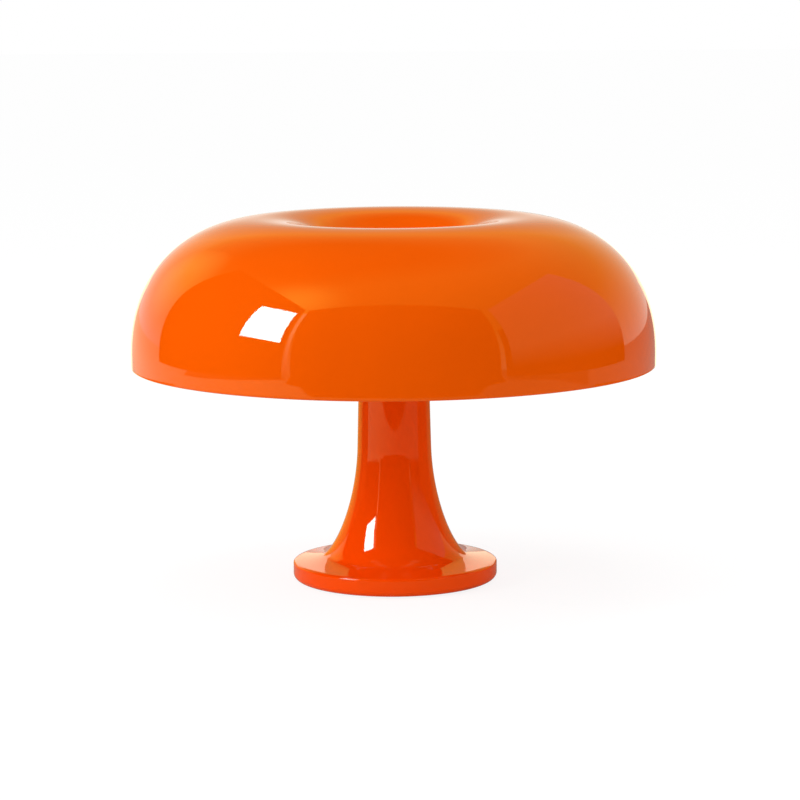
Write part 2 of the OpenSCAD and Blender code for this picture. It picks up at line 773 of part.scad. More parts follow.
// A tube of lead_sides sides along a path, as one closed polyhedron
module lead(points) {
    path = smooth(points);
    last = len(path) - 1;
    ahead = [for (i = [0:last]) unit(path[min(i + 1, last)] - path[max(i - 1, 0)])];
    first_side = unit(cross(ahead[0], abs(ahead[0][2]) < 0.7 ? [0, 0, 1] : [1, 0, 0]));
    sides = [for (i = 0, s = first_side; i <= last; i = i + 1,
        s = i <= last ? unit(s - (s * ahead[i]) * ahead[i]) : s) s];
    rings = [for (i = [0:last], k = [0:lead_sides - 1]) let (angle = 360 / lead_sides * k)
        path[i] + lead_r * (cos(angle) * sides[i] + sin(angle) * cross(ahead[i], sides[i]))];
    walls = [for (i = [0:last - 1], k = [0:lead_sides - 1]) let (
            a = i * lead_sides + k, b = i * lead_sides + (k + 1) % lead_sides)
        each [[a, b, b + lead_sides], [a, b + lead_sides, a + lead_sides]]];
    start_cap = [for (k = [lead_sides - 1:-1:0]) k];
    end_cap = [for (k = [0:lead_sides - 1]) last * lead_sides + k];
    polyhedron(points = rings, faces = [for (f = concat([start_cap, end_cap], walls)) backwards(f)]);
}

// From the connector block up the sleeve to the first lampholder, one lead for each pole
module supply_leads() {
    sleeve_x = lead_r + lead_gap;
    for (side = [-1, 1]) color(side < 0 ? [0.45, 0.25, 0.12] : [0.2, 0.35, 0.7]) lead([
        [side * pole_pitch / 2, block_mid_y - 0.5, pole_h],
        [side * pole_pitch / 2, block_front + 1.5, pole_h],
        [side * pole_pitch / 2, block_front - 0.5, pole_h],
        [side * 2.6, wire_y + 0.8, pole_h + 2.6],
        [side * sleeve_x, wire_y, pocket_roof + 1],
        [side * sleeve_x, wire_y, pocket_roof + 4],
        [side * sleeve_x, wire_y, (pocket_roof + sleeve_top) / 3],
        [side * sleeve_x, wire_y, (pocket_roof + sleeve_top) / 3 * 2],
        [side * sleeve_x, wire_y, sleeve_top - 1],
        round_point(wire_y - 0.2 + side * 0.9, 84 - side * 6, sleeve_top + 2.3),
        round_point(12.6 + side * 1.3, 62 + side * 6, holder_h - 4),
        holder_point(0, lead_spread, side * lead_spread, -5.6),
        holder_point(0, lead_spread, side * lead_spread, -4.4),
        holder_point(0, lead_spread, side * lead_spread, -1.5),
        holder_point(0, lead_spread, side * lead_spread, 4),
        holder_point(0, lead_spread, side * lead_spread, terminal_h)]);
}

// From each lampholder to the next, one lead for each pole, round the spacer tube
module holder_jumpers() {
    quarter = 360 / bulb_count;
    for (i = [0:bulb_count - 2], side = [-1, 1]) {
        from = first_azimuth - quarter * i;
        arc_r = 12.2 - side * 1.3;
        rise = 2 * lead_spread * cos(holder_tilt);
        top = holder_h + rise / 2 - 6 * sin(holder_tilt);
        color(side < 0 ? [0.45, 0.25, 0.12] : [0.2, 0.35, 0.7]) lead([
            holder_point(-i, -lead_spread, side * lead_spread, terminal_h),
            holder_point(-i, -lead_spread, side * lead_spread, 4),
            holder_point(-i, -lead_spread, side * lead_spread, -1.5),
            holder_point(-i, -lead_spread, side * lead_spread, -4.4),
            holder_point(-i, -lead_spread, side * lead_spread, -5.6),
            round_point(arc_r + 0.4, from - 17 + side * 6, top),
            round_point(arc_r, from - quarter / 2, top - rise / 2),
            round_point(arc_r + 0.4, from - quarter + 17 - side * 6, top - rise),
            holder_point(-i - 1, lead_spread, -side * lead_spread, -5.6),
            holder_point(-i - 1, lead_spread, -side * lead_spread, -4.4),
            holder_point(-i - 1, lead_spread, -side * lead_spread, -1.5),
            holder_point(-i - 1, lead_spread, -side * lead_spread, 4),
            holder_point(-i - 1, lead_spread, -side * lead_spread, terminal_h)]);
    }
}

module bulb_contact(i) {
    color(black) at_holder(i) translate([0, 0, bulb_tip]) rotate_extrude() polygon([
        [0, 0], [button_r, 0], [button_r, button_h], [button_r + 1, button_h],
        [cap_tip_r, button_h + bulb_cone_h - slip], [0, button_h + bulb_cone_h - slip]]);
}

module bulb_cap(i) {
    inner_r = cap_d / 2 - cap_wall;
    color(zinc) at_holder(i) translate([0, 0, cap_start]) rotate_extrude() polygon([
        [cap_tip_r - 1, 0], [cap_tip_r, 0], [cap_d / 2, 0.8], [cap_d / 2, cap_len],
        [inner_r, cap_len], [inner_r, cap_wall + 0.8], [cap_tip_r - 1, cap_wall]]);
}

// Outer and inner faces of the glass: a neck seated in the cap, and the globe
function glass_face(inset) = let (r = globe_r - inset, neck = cap_d / 2 - cap_wall - slip - inset)
    concat([[neck, cap_end - neck_len], [neck, cap_end]],
        bow([neck, cap_end], [neck + 1, cap_end + 9], globe_point(r, globe_join_angle)),
        [for (k = [1:curve_steps]) globe_point(r, globe_join_angle * (1 - k / curve_steps))]);

function globe_point(r, angle) = [r * sin(angle), globe_at + r * cos(angle)];

module bulb_glass(i) {
    color(glow_white) at_holder(i) rotate_extrude()
        polygon(concat(glass_face(0), backwards(glass_face(glass_t))));
}

shade();
shade_knob();
knob_insert();
knob_washer();
stem_base();
ballast_weight();
base_cover();
base_pad_ring();
cover_screws();
cord_gland();
cord_clamp();
cord_clamp_screws();
terminal_block();
terminal_sleeves();
terminal_screws();
block_screw();
tie_rod();
tie_rod_nut();
tie_rod_washer();
deck_nut();
deck_washer();
lampholder_carrier();
deck_grommet();
support_tube();
shade_seat();
seat_gasket();
holder_nipples();
holder_nuts();
lampholder_caps();
lampholder_bodies();
holder_insulators();
holder_screw_shells();
holder_contacts();
holder_terminals();
lead_sleeve();
supply_leads();
holder_jumpers();
bulb_glass(0);  // bulb_glass_1
bulb_cap(0);  // bulb_cap_1
bulb_contact(0);  // bulb_contact_1
bulb_glass(1);  // bulb_glass_2
bulb_cap(1);  // bulb_cap_2
bulb_contact(1);  // bulb_contact_2
bulb_glass(2);  // bulb_glass_3
bulb_cap(2);  // bulb_cap_3
bulb_contact(2);  // bulb_contact_3
bulb_glass(3);  // bulb_glass_4
bulb_cap(3);  // bulb_cap_4
bulb_contact(3);  // bulb_contact_4
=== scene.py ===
"""Mushroom table lamp: the finish of every piece, the stage and the camera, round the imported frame."""

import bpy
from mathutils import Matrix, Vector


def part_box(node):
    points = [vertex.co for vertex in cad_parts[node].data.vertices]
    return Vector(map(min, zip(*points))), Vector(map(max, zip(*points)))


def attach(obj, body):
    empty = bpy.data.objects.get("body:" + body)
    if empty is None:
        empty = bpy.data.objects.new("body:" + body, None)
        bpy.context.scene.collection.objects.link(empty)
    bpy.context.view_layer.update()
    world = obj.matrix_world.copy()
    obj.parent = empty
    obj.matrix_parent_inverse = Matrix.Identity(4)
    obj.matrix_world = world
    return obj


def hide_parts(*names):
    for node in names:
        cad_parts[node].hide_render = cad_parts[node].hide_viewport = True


bl_info = {
    "name": "Mushroom Table Lamp",
    "version": (1, 0, 0),
    "blender": (4, 5, 0),
    "location": "View3D > Sidebar > Lamp",
    "description": "Builds the pieces of a mushroom table lamp, their finishes and a plain stage",
    "category": "Object",
}

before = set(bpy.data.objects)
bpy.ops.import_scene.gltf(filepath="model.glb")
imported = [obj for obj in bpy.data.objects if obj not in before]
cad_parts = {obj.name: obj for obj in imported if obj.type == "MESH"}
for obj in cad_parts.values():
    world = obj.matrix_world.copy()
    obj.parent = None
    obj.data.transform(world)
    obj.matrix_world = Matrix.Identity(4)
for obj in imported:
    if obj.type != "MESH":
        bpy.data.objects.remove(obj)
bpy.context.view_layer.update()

import math
from collections import namedtuple

import bmesh
import bpy
from bpy.props import BoolProperty, FloatProperty, FloatVectorProperty, IntProperty, PointerProperty
from mathutils import Matrix, Vector

MM = 0.001
ROD_PITCH = 1.25 * MM
CAP_PITCH = 2.822 * MM
# Half the angle that one side of a hexagon takes up
HALF_SIDE = math.radians(30)
# Places closer than this, in metres, count as one
TOUCHING = 1e-6

# The lampholders' own frame: Z outwards along the holder, X down

BULBS = 4
FIRST_AZIMUTH = math.radians(45)
HOLDER_REACH = 22 * MM
HOLDER_HEIGHT = 146 * MM
HOLDER_TILT = math.radians(15)
HOLDER_RING = dict(count=BULBS, first_azimuth=FIRST_AZIMUTH, reach=HOLDER_REACH, height=HOLDER_HEIGHT,
                   tilt=HOLDER_TILT)

# The camera and the studio, in metres and radians, and the lens in millimetres

CAMERA_PLACE = Vector((0.0, -1.74935, 0.36989))
CAMERA_PITCH = 0.147
CAMERA_YAW = -0.0021
CAMERA_ROLL = -0.0069
CAMERA_LENS = 129.92
LAMPS_AIM = Vector((0, 0, 0.14))
FLOOR_HALF = 12.0
JUST_OVER_FLOOR = 0.002
WHITE = (1.0, 1.0, 1.0)


# Sizes read from the frame

def reach_of(node, centre=(0.0, 0.0)):
    """The smallest and the largest distance of a node's points from an upright axis."""
    far = [math.hypot(v.co.x - centre[0], v.co.y - centre[1]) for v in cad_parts[node].data.vertices]
    return min(far), max(far)


def heights_of(node):
    """The lowest and the highest point of a node."""
    low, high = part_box(node)
    return low.z, high.z


def axis_of(node):
    """The upright axis through the middle of a node's box."""
    low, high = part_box(node)
    return (low.x + high.x) / 2, (low.y + high.y) / 2


# Properties that a user would change

def length(name, description, default):
    """A length, its default in millimetres."""
    return FloatProperty(name=name, description=description, default=default * MM, min=0.0, unit="LENGTH",
                         subtype="DISTANCE", precision=4)


def amount(name, description, default):
    return FloatProperty(name=name, description=description, default=default, min=0.0)


def slope(name, description, degrees):
    return FloatProperty(name=name, description=description, default=math.radians(degrees), subtype="ANGLE")


def count(name, description, default, least=0):
    return IntProperty(name=name, description=description, default=default, min=least, max=512)


def colour(name, description, default):
    return FloatVectorProperty(name=name, description=description, default=default, size=3, min=0.0, max=1.0,
                               subtype="COLOR")


class LampShadeSizes(bpy.types.PropertyGroup):
    """Sizes of the shade that the frame's boxes do not give"""
    wall: length("Wall", "Wall of the shade", 3)
    skirt: length("Skirt", "Upright wall above the rim", 8.3)
    shoulder_rise: length("Shoulder Rise", "Upright pull of the shoulder's curve", 56.9)
    shoulder_run: length("Shoulder Run", "Level pull of the shoulder's curve, outside the crest", 37.7)
    crest_radius: length("Crest Radius", "Radius of the crown's crest", 80)
    funnel_run: length("Funnel Run", "Level pull of the funnel's curve, inside the crest", 30)
    funnel_rise: length("Funnel Rise", "Upright pull of the funnel's curve, above the neck", 24)
    well_radius: length("Well Radius", "Inner radius of the well", 34)
    well_wall: length("Well Wall", "Height of the well's upright wall", 16)
    well_fillet: length("Well Fillet", "Rounding between the well's wall and its floor", 6)
    well_depth: length("Well Depth", "Depth of the well's floor below the crest", 51)
    rim_fillet: length("Rim Fillet", "Rounding of the rim's edges", 1.2)
    segments: count("Segments", "Steps round the shade", 384, least=24)


class LampStemSizes(bpy.types.PropertyGroup):
    """Sizes of the stem and base that the frame's boxes do not give"""
    wall: length("Wall", "Wall of the stem and base", 3)
    top_radius: length("Top Radius", "Radius of the stem at its top", 21.5)
    flare_radius: length("Flare Radius", "Radius where the stem starts to flare", 22.66)
    flare_height: length("Flare Height", "Height at which the stem starts to flare", 82.7)
    flare_pull: length("Flare Pull", "Pull of the flare's curve along the stem", 34.5)
    bore_radius: length("Bore Radius", "Smallest radius of the stem's hollow", 19.2)
    foot_radius: length("Foot Radius", "Radius where the flare meets the flange", 45)
    foot_height: length("Foot Height", "Height of the flange's top at the foot", 14.93)
    foot_pull: length("Foot Pull", "Level pull of the flare's curve at the foot", 8.7)
    foot_slope: slope("Foot Slope", "Slope of the flange at the foot", 18)
    edge_slope: slope("Edge Slope", "Slope of the flange at its edge", 7)
    edge_height: length("Edge Height", "Height of the flange's top at its edge", 11.7)
    edge_fillet: length("Edge Fillet", "Rounding of the flange's top edge", 1.2)
    under_fillet: length("Under Fillet", "Rounding under the base", 3.5)
    skirt_wall: length("Skirt Wall", "Width of the base's skirt at its bottom", 4.5)
    deck: length("Deck", "Thickness of the deck at the top of the stem", 4)
    segments: count("Segments", "Steps round the stem", 160, least=24)


class LampColours(bpy.types.PropertyGroup):
    """Colours of the pieces that show"""
    shade: colour("Shade", "Orange of the shade, moulded in colour", (0.82, 0.094, 0.0005))
    # Painted shade: the stem and base are the shade's plastic, and this redder orange stands for the dimmer
    # light under the dome
    stem: colour("Stem", "Orange of the stem and base, a little redder", (0.98, 0.070, 0.0005))
    holders: colour("Lampholders", "Ivory of the lampholders", (0.78, 0.74, 0.64))
    rubber: colour("Rubber", "Black of the standing ring, grommet and gland", (0.018, 0.018, 0.019))


class LampStageSettings(bpy.types.PropertyGroup):
    """Light of the stage"""
    ambient: amount("Ambient", "Level of the light from all round", 0.73)
    key_power: amount("Key Power", "Power of the key lamp, in watts", 14.4)
    fill_power: amount("Fill Power", "Power of the fill lamp, in watts", 1.9)
    top_power: amount("Top Power", "Power of the lamp above, in watts", 5.5)
    softbox: amount("Softbox", "Brightness of the softbox as the gloss shows it", 66.0)
    show_softbox: BoolProperty(name="Show Softbox", description="Reflect the softbox in the gloss",
                               default=True)


# Outlines: lists of points (radius, height), with the solid on the left of the way round

def at(radius, height):
    return Vector((radius, height))


def cubic(a, b, c, d, steps):
    """Points along a cubic curve, without its first point."""
    points = []
    for i in range(1, steps + 1):
        t = i / steps
        s = 1 - t
        points.append(s * s * s * a + 3 * s * s * t * b + 3 * s * t * t * c + t * t * t * d)
    return points


def bow(a, b, c, steps):
    """Points along a quadratic curve, without its first point."""
    points = []
    for i in range(1, steps + 1):
        t = i / steps
        s = 1 - t
        points.append(s * s * a + 2 * s * t * b + t * t * c)
    return points


def arc(centre, radius, start, end, steps):
    """Points along an arc, its angles in degrees."""
    points = []
    for i in range(steps + 1):
        angle = math.radians(start + (end - start) * i / steps)
        points.append(Vector(centre) + radius * at(math.cos(angle), math.sin(angle)))
    return points


def beside(path, distance):
    """A path moved sideways: a positive distance goes to the right of its direction."""
    moved = []
    last = len(path) - 1
    for i, point in enumerate(path):
        step = (path[min(i + 1, last)] - path[max(i - 1, 0)]).normalized()
        moved.append(point + distance * at(step.y, -step.x))
    return moved


def height_at(path, radius):
    """Height of a path where it passes a radius."""
    for a, b in zip(path, path[1:]):
        if (a.x - radius) * (b.x - radius) <= 0 and a.x != b.x:
            return a.y + (b.y - a.y) * (radius - a.x) / (b.x - a.x)
    raise ValueError("the path does not pass this radius")


def filleted(corners, steps=4):
    """A closed outline with rounded corners, from (radius, height, fillet) each."""
    points = []
    for i, (radius, height, fillet) in enumerate(corners):
        here = at(radius, height)
        if fillet <= 0:
            points.append(here)
            continue
        before = (Vector(corners[i - 1][:2]) - here).normalized()
        after = (Vector(corners[(i + 1) % len(corners)][:2]) - here).normalized()
        half = before.angle(after) / 2
        middle = here + (before + after).normalized() * fillet / math.sin(half)
        start = here + before * fillet / math.tan(half) - middle
        end = here + after * fillet / math.tan(half) - middle
        for k in range(steps + 1):
            points.append(middle + start.lerp(end, k / steps).normalized() * fillet)
    return points


def ring_outline(inner, outer, bottom, top, fillet):
    """The section of a flat ring or a tube with rounded edges."""
    corners = ((inner, bottom), (outer, bottom), (outer, top), (inner, top))
    return filleted([(radius, height, fillet) for radius, height in corners])


def steadied(outline, reach):
    """A closed outline with a point near each end of its long stretches, which stay flat when smooth."""
    points = []
    for i, here in enumerate(outline):
        after = outline[(i + 1) % len(outline)]
        points.append(here)
        span = (after - here).length
        if span > 4 * reach:
            points += [here.lerp(after, reach / span), after.lerp(here, reach / span)]
    return points


# Node trees

class Number:
    """A number in a node tree, with which sums are written in the usual signs."""

    def __init__(self, tree, socket):
        self.tree = tree
        self.socket = socket

    def do(self, operation, *others):
        """The result of one Math node that takes this number first."""
        return calc(self.tree, operation, self, *others)

    def __add__(self, other):
        return self.do("ADD", other)

    def __sub__(self, other):
        return self.do("SUBTRACT", other)

    def __rsub__(self, other):
        return calc(self.tree, "SUBTRACT", other, self)

    def __mul__(self, other):
        return self.do("MULTIPLY", other)

    def __truediv__(self, other):
        return self.do("DIVIDE", other)

    def __rtruediv__(self, other):
        return calc(self.tree, "DIVIDE", other, self)


def add(tree, kind, inputs=None, **settings):
    """Adds a node; an input is linked if it gets a socket or a Number, and set if it gets a value."""
    node = tree.nodes.new(kind)
    node.location = (200 * len(tree.nodes), -40 * (len(tree.nodes) % 5))
    for key, value in settings.items():
        setattr(node, key, value)
    for key, value in (inputs or {}).items():
        if isinstance(value, Number):
            value = value.socket
        if isinstance(value, bpy.types.NodeSocket):
            tree.links.new(value, node.inputs[key])
        else:
            node.inputs[key].default_value = value
    return node


def number(tree, kind, inputs=None, output=0, **settings):
    """Adds a node and returns one of its outputs as a Number."""
    return Number(tree, add(tree, kind, inputs, **settings).outputs[output])


def calc(tree, operation, *values):
    """The result of one Math node."""
    return number(tree, "ShaderNodeMath", dict(enumerate(values)), operation=operation)


def choose(factor, a, b):
    """The number a where factor is 0, and b where it is 1."""
    return factor * (b - a) + a


def ramp(tree, value, low, high, start=0.0, end=1.0):
    """A number that goes from start to end while value goes from low to high."""
    return number(tree, "ShaderNodeMapRange", {"Value": value, "From Min": low, "From Max": high,
                                               "To Min": start, "To Max": end})


def vector(tree, x=0.0, y=0.0, z=0.0):
    return add(tree, "ShaderNodeCombineXYZ", {"X": x, "Y": y, "Z": z}).outputs[0]


def part_of(tree, whole, axis):
    """One component of a vector."""
    return number(tree, "ShaderNodeSeparateXYZ", {"Vector": whole}, axis)


def new_geometry_tree(name, inputs):
    """A node tree with a geometry, the named inputs and a material; returns it with what its inputs give."""
    tree = bpy.data.node_groups.new(name, "GeometryNodeTree")
    tree.is_modifier = True
    tree.interface.new_socket("Geometry", in_out="INPUT", socket_type="NodeSocketGeometry")
    for label, kind, default in inputs:
        socket = tree.interface.new_socket(label, in_out="INPUT", socket_type="NodeSocket" + kind)
        socket.default_value = default
    tree.interface.new_socket("Material", in_out="INPUT", socket_type="NodeSocketMaterial")
    tree.interface.new_socket("Geometry", in_out="OUTPUT", socket_type="NodeSocketGeometry")
    outputs = tree.nodes.new("NodeGroupInput").outputs
    return tree, {socket.name: Number(tree, socket) for socket in outputs if socket.name}


def close_tree(tree, geometry, given):
    """Ends a tree in Realize Instances and Set Material."""
    real = add(tree, "GeometryNodeRealizeInstances", {"Geometry": geometry}).outputs[0]
    painted = add(tree, "GeometryNodeSetMaterial", {"Geometry": real, "Material": given["Material"]})
    out = tree.nodes.new("NodeGroupOutput")
    tree.links.new(painted.outputs[0], out.inputs[0])


def round_grid(tree, segments, rows):
    """A grid to wrap round an axis, with the row and the column of each of its points."""
    grid = add(tree, "GeometryNodeMeshGrid", {"Size X": 1.0, "Size Y": 1.0, "Vertices X": segments + 1,
                                              "Vertices Y": rows})
    index = number(tree, "GeometryNodeInputIndex")
    column = (index / rows).do("FLOOR")
    return grid.outputs["Mesh"], index - column * rows, column


def on_circle(tree, radius, angle, height):
    """A place given by its distance from the Z axis, its angle and its height."""
    return vector(tree, radius * angle.do("COSINE"), radius * angle.do("SINE"), height)


def wrap(tree, grid, radius, height, angle):
    """Puts the grid's points round the axis and welds its seam and poles."""
    place_at = on_circle(tree, radius, angle, height)
    moved = add(tree, "GeometryNodeSetPosition", {"Geometry": grid, "Position": place_at}).outputs[0]
    return add(tree, "GeometryNodeMergeByDistance", {"Geometry": moved, "Distance": TOUCHING}).outputs[0]


def copies_at(tree, points, instance, x=0.0, y=0.0, z=0.0):
    """A copy of an instance at each point, turned by the angles x, y and z."""
    turn = add(tree, "FunctionNodeEulerToRotation", {"Euler": vector(tree, x, y, z)}).outputs[0]
    return add(tree, "GeometryNodeInstanceOnPoints",
               {"Points": points, "Instance": instance, "Rotation": turn}).outputs[0]


def turned_tree():
    """Turns the outline that the object's mesh holds about the Z axis, with flutes where it asks for them."""
    tree, given = new_geometry_tree("Turned Piece", [
        ("Segments", "Int", 96), ("Closed", "Bool", True), ("Flutes", "Int", 0),
        ("Flute Depth", "Float", 0.0)])
    outline = given["Geometry"]
    points = number(tree, "GeometryNodeAttributeDomainSize", {"Geometry": outline}, "Point Count")
    grid, row, column = round_grid(tree, given["Segments"], points + given["Closed"])
    source = {"Geometry": outline, "Index": row.do("MODULO", points)}
    here = number(tree, "GeometryNodeInputPosition")
    point = number(tree, "GeometryNodeSampleIndex", {**source, "Value": here}, data_type="FLOAT_VECTOR")
    weight = number(tree, "GeometryNodeInputNamedAttribute", {"Name": "flute"}, data_type="FLOAT")
    fluted = number(tree, "GeometryNodeSampleIndex", {**source, "Value": weight}, data_type="FLOAT")
    angle = column / given["Segments"] * math.tau
    wave = (angle * given["Flutes"]).do("COSINE").do("MAXIMUM", 0.0)
    radius = part_of(tree, point, "X") - fluted * given["Flute Depth"] * wave
    close_tree(tree, wrap(tree, grid, radius, part_of(tree, point, "Z"), angle), given)
    return tree


def thread_tree():
    """A screw thread about the Z axis, closed at both ends; with a core radius it is a tube."""
    tree, given = new_geometry_tree("Screw Thread", [
        ("Crest Radius", "Float", 4 * MM), ("Root Radius", "Float", 3.4 * MM), ("Core Radius", "Float", 0.0),
        ("Pitch", "Float", 1.25 * MM), ("Bottom", "Float", 0.0), ("Top", "Float", 20 * MM),
        ("Segments", "Int", 24), ("Steps", "Int", 6), ("Roundness", "Float", 0.0)])
    bottom, top, pitch, core = (given[label] for label in ("Bottom", "Top", "Pitch", "Core Radius"))
    turns = ((top - bottom) / pitch).do("CEIL") + 2
    top_row = turns * given["Steps"] + 1 + 1
    hollow = core.do("GREATER_THAN", TOUCHING)
    grid, row, column = round_grid(tree, given["Segments"], top_row + 1 + hollow)
    share = column / given["Segments"]
    step = (row - 1) / given["Steps"]
    height = (step + share - 1) * pitch + bottom
    height = height.do("MAXIMUM", bottom).do("MINIMUM", top)
    phase = (step + 4).do("FRACT")
    peak = 1 - (phase * 2 - 1).do("ABSOLUTE")
    sharp = (peak * 2 - 0.5).do("MAXIMUM", 0).do("MINIMUM", 1)
    soft = (phase * math.tau).do("COSINE") * -0.5 + 0.5
    signed = given["Crest Radius"] - given["Root Radius"]
    tooth = signed.do("ABSOLUTE") * choose(given["Roundness"], sharp, soft)
    tooth = tooth.do("MINIMUM", height - bottom).do("MINIMUM", top - height)
    radius = tooth * signed.do("SIGN") + given["Root Radius"]
    cap = row.do("LESS_THAN", 0.5).do("MAXIMUM", row.do("GREATER_THAN", top_row - 0.5))
    cap_height = choose(row.do("COMPARE", top_row, 0.5), bottom, top)
    radius = choose(cap, radius, core)
    height = choose(cap, height, cap_height)
    close_tree(tree, wrap(tree, grid, radius, height, share * math.tau), given)
    return tree


def ring_of_copies_tree():
    """Copies of a piece round the lamp, each tilted up and with its own Z axis outwards."""
    tree, given = new_geometry_tree("Ring of Copies", [
        ("Count", "Int", BULBS), ("First Azimuth", "Float", FIRST_AZIMUTH), ("Reach", "Float", HOLDER_REACH),
        ("Height", "Float", HOLDER_HEIGHT), ("Tilt", "Float", HOLDER_TILT)])
    azimuth = number(tree, "GeometryNodeInputIndex") * (math.tau / given["Count"]) + given["First Azimuth"]
    places = on_circle(tree, given["Reach"], azimuth, given["Height"])
    points = add(tree, "GeometryNodePoints", {"Count": given["Count"], "Position": places}).outputs[0]
    copies = copies_at(tree, points, given["Geometry"], y=math.pi / 2 - given["Tilt"], z=azimuth)
    close_tree(tree, copies, given)
    return tree


def swept_tree():
    """A round lead along the path that the object's mesh holds."""
    tree, given = new_geometry_tree("Swept Lead", [("Radius", "Float", 0.9 * MM), ("Sides", "Int", 16)])
    path = add(tree, "GeometryNodeMeshToCurve", {"Mesh": given["Geometry"]}).outputs[0]
    section = add(tree, "GeometryNodeCurvePrimitiveCircle",
                  {"Resolution": given["Sides"], "Radius": given["Radius"]}).outputs[0]
    swept = add(tree, "GeometryNodeCurveToMesh", {"Curve": path, "Profile Curve": section, "Fill Caps": True})
    close_tree(tree, swept.outputs[0], given)
    return tree


def solids(tree, operation, tools, base=None):
    """The union of the tools, or a base with the tools cut out of it."""
    node = add(tree, "GeometryNodeMeshBoolean", {"Mesh 1": base} if base else {}, operation=operation)
    for tool in tools:
        tree.links.new(tool, node.inputs["Mesh 2"])
    return node.outputs[0]


def lowered(tree, geometry, height):
    """A geometry moved along Z."""
    return add(tree, "GeometryNodeTransform",
               {"Geometry": geometry, "Translation": vector(tree, z=height)}).outputs[0]


def screws_tree():
    """A slotted or cross-slotted screw at each point, with the outer face of its head at the point."""
    tree, given = new_geometry_tree("Driven Screws", [
        ("Head Radius", "Float", 2.3 * MM), ("Head Edge Radius", "Float", 1.5 * MM),
        ("Head Height", "Float", 1 * MM), ("Shank Radius", "Float", 1.4 * MM),
        ("Shank Length", "Float", 6 * MM), ("Slot Length", "Float", 3 * MM),
        ("Slot Width", "Float", 0.6 * MM), ("Slot Depth", "Float", 0.5 * MM), ("Crossed", "Bool", True),
        ("Upside Down", "Bool", False)])
    tall, shank_length = given["Head Height"], given["Shank Length"]
    length_of_slot, width = given["Slot Length"], given["Slot Width"]
    head = add(tree, "GeometryNodeMeshCone", {
        "Vertices": 32, "Radius Top": given["Head Radius"], "Radius Bottom": given["Head Edge Radius"],
        "Depth": tall}).outputs["Mesh"]
    shank = add(tree, "GeometryNodeMeshCylinder", {
        "Vertices": 24, "Radius": given["Shank Radius"], "Depth": shank_length}).outputs["Mesh"]
    body = solids(tree, "UNION", [lowered(tree, head, tall * -1),
                                  lowered(tree, shank, tall * -0.5 + shank_length * -0.5)])
    depth = given["Slot Depth"] * 2
    slots = []
    for size in ((length_of_slot, width), (width, choose(given["Crossed"], width, length_of_slot))):
        slots.append(add(tree, "GeometryNodeMeshCube", {"Size": vector(tree, *size, depth)}).outputs[0])
    screw = solids(tree, "DIFFERENCE", [solids(tree, "UNION", slots)], body)
    close_tree(tree, copies_at(tree, given["Geometry"], screw, x=given["Upside Down"] * math.pi), given)
    return tree


# Pieces

def new_object(name, data):
    piece = bpy.data.objects.new(name, data)
    bpy.context.scene.collection.objects.link(piece)
    return piece


def mesh_object(name, points, edges=(), faces=(), material=None):
    mesh = bpy.data.meshes.new(name)
    mesh.from_pydata([tuple(p) for p in points], edges, faces)
    if material:
        mesh.materials.append(material)
    return new_object(name, mesh)


def use_tree(piece, name, build, material, **values):
    """Puts a node tree, built once and then shared, on a piece as a modifier, and sets the tree's inputs."""
    tree = bpy.data.node_groups.get(name) or build()
    modifier = piece.modifiers.new(name, "NODES")
    modifier.node_group = tree
    values = {key.replace("_", " ").title(): value for key, value in values.items()}
    values["Material"] = material
    for item in tree.interface.items_tree:
        if item.item_type == "SOCKET" and item.in_out == "INPUT" and item.name in values:
            modifier[item.identifier] = values[item.name]


def apply_modifiers(piece):
    """Turns what the modifiers give into a plain mesh, and removes them."""
    bpy.context.view_layer.update()
    evaluated = piece.evaluated_get(bpy.context.evaluated_depsgraph_get())
    mesh = bpy.data.meshes.new_from_object(evaluated)
    piece.modifiers.clear()
    piece.data = mesh
    return mesh


def face_outwards(mesh):
    """Turns a closed mesh the right way round, whichever way it was built."""
    shape = bmesh.new()
    shape.from_mesh(mesh)
    if shape.calc_volume(signed=True) < 0:
        bmesh.ops.reverse_faces(shape, faces=shape.faces)
    shape.to_mesh(mesh)
    shape.free()


def smooth_by_angle(mesh, degrees=35):
    mesh.shade_smooth()
    mesh.set_sharp_from_angle(angle=math.radians(degrees))


def finished(piece, material, ring=None):
    """Makes a piece plain and smooth, after copying it to the lampholders' places if ring says which."""
    if ring is not None:
        use_tree(piece, "Ring of Copies", ring_of_copies_tree, material, **ring)
    mesh = apply_modifiers(piece)
    face_outwards(mesh)
    smooth_by_angle(mesh)
    return piece


def turned(name, outline, material, closed=True, segments=64, flutes=0, depth=0.0, weights=None, ring=None):
    """A turned piece about the Z axis, fluted by the weight of each point of its outline."""
    piece = mesh_object(name, [(p.x, 0.0, p.y) for p in outline])
    fluting = piece.data.attributes.new("flute", "FLOAT", "POINT")
    fluting.data.foreach_set("value", weights or [0.0] * len(outline))
    use_tree(piece, "Turned Piece", turned_tree, material, segments=segments, closed=closed, flutes=flutes,
             flute_depth=depth)
    return finished(piece, material, ring)


def threaded(name, material, ring=None, **values):
    """A threaded rod or tube about the Z axis."""
    piece = mesh_object(name, [(0.0, 0.0, 0.0)])
    use_tree(piece, "Screw Thread", thread_tree, material, **values)
    return finished(piece, material, ring)


def place(piece, matrix):
    """Puts a piece in its place, in its mesh."""
    piece.data.transform(matrix)
    return piece


def centred(piece, centre):
    """Puts a piece on an upright axis."""
    return place(piece, Matrix.Translation((centre[0], centre[1], 0)))


def hand_over(piece, body, slot, *nodes):
    """Rides a finished piece on its body, in place of its CAD nodes."""
    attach(piece, body)
    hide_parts(*nodes)


def make_ring(node, name, body, slot, material, fillet, segments=72):
    """A turned ring, tube or washer with rounded edges, as large as its node."""
    centre = axis_of(node)
    outline = ring_outline(*reach_of(node, centre), *heights_of(node), fillet)
    hand_over(centred(turned(name, outline, material, segments=segments), centre), body, slot, node)


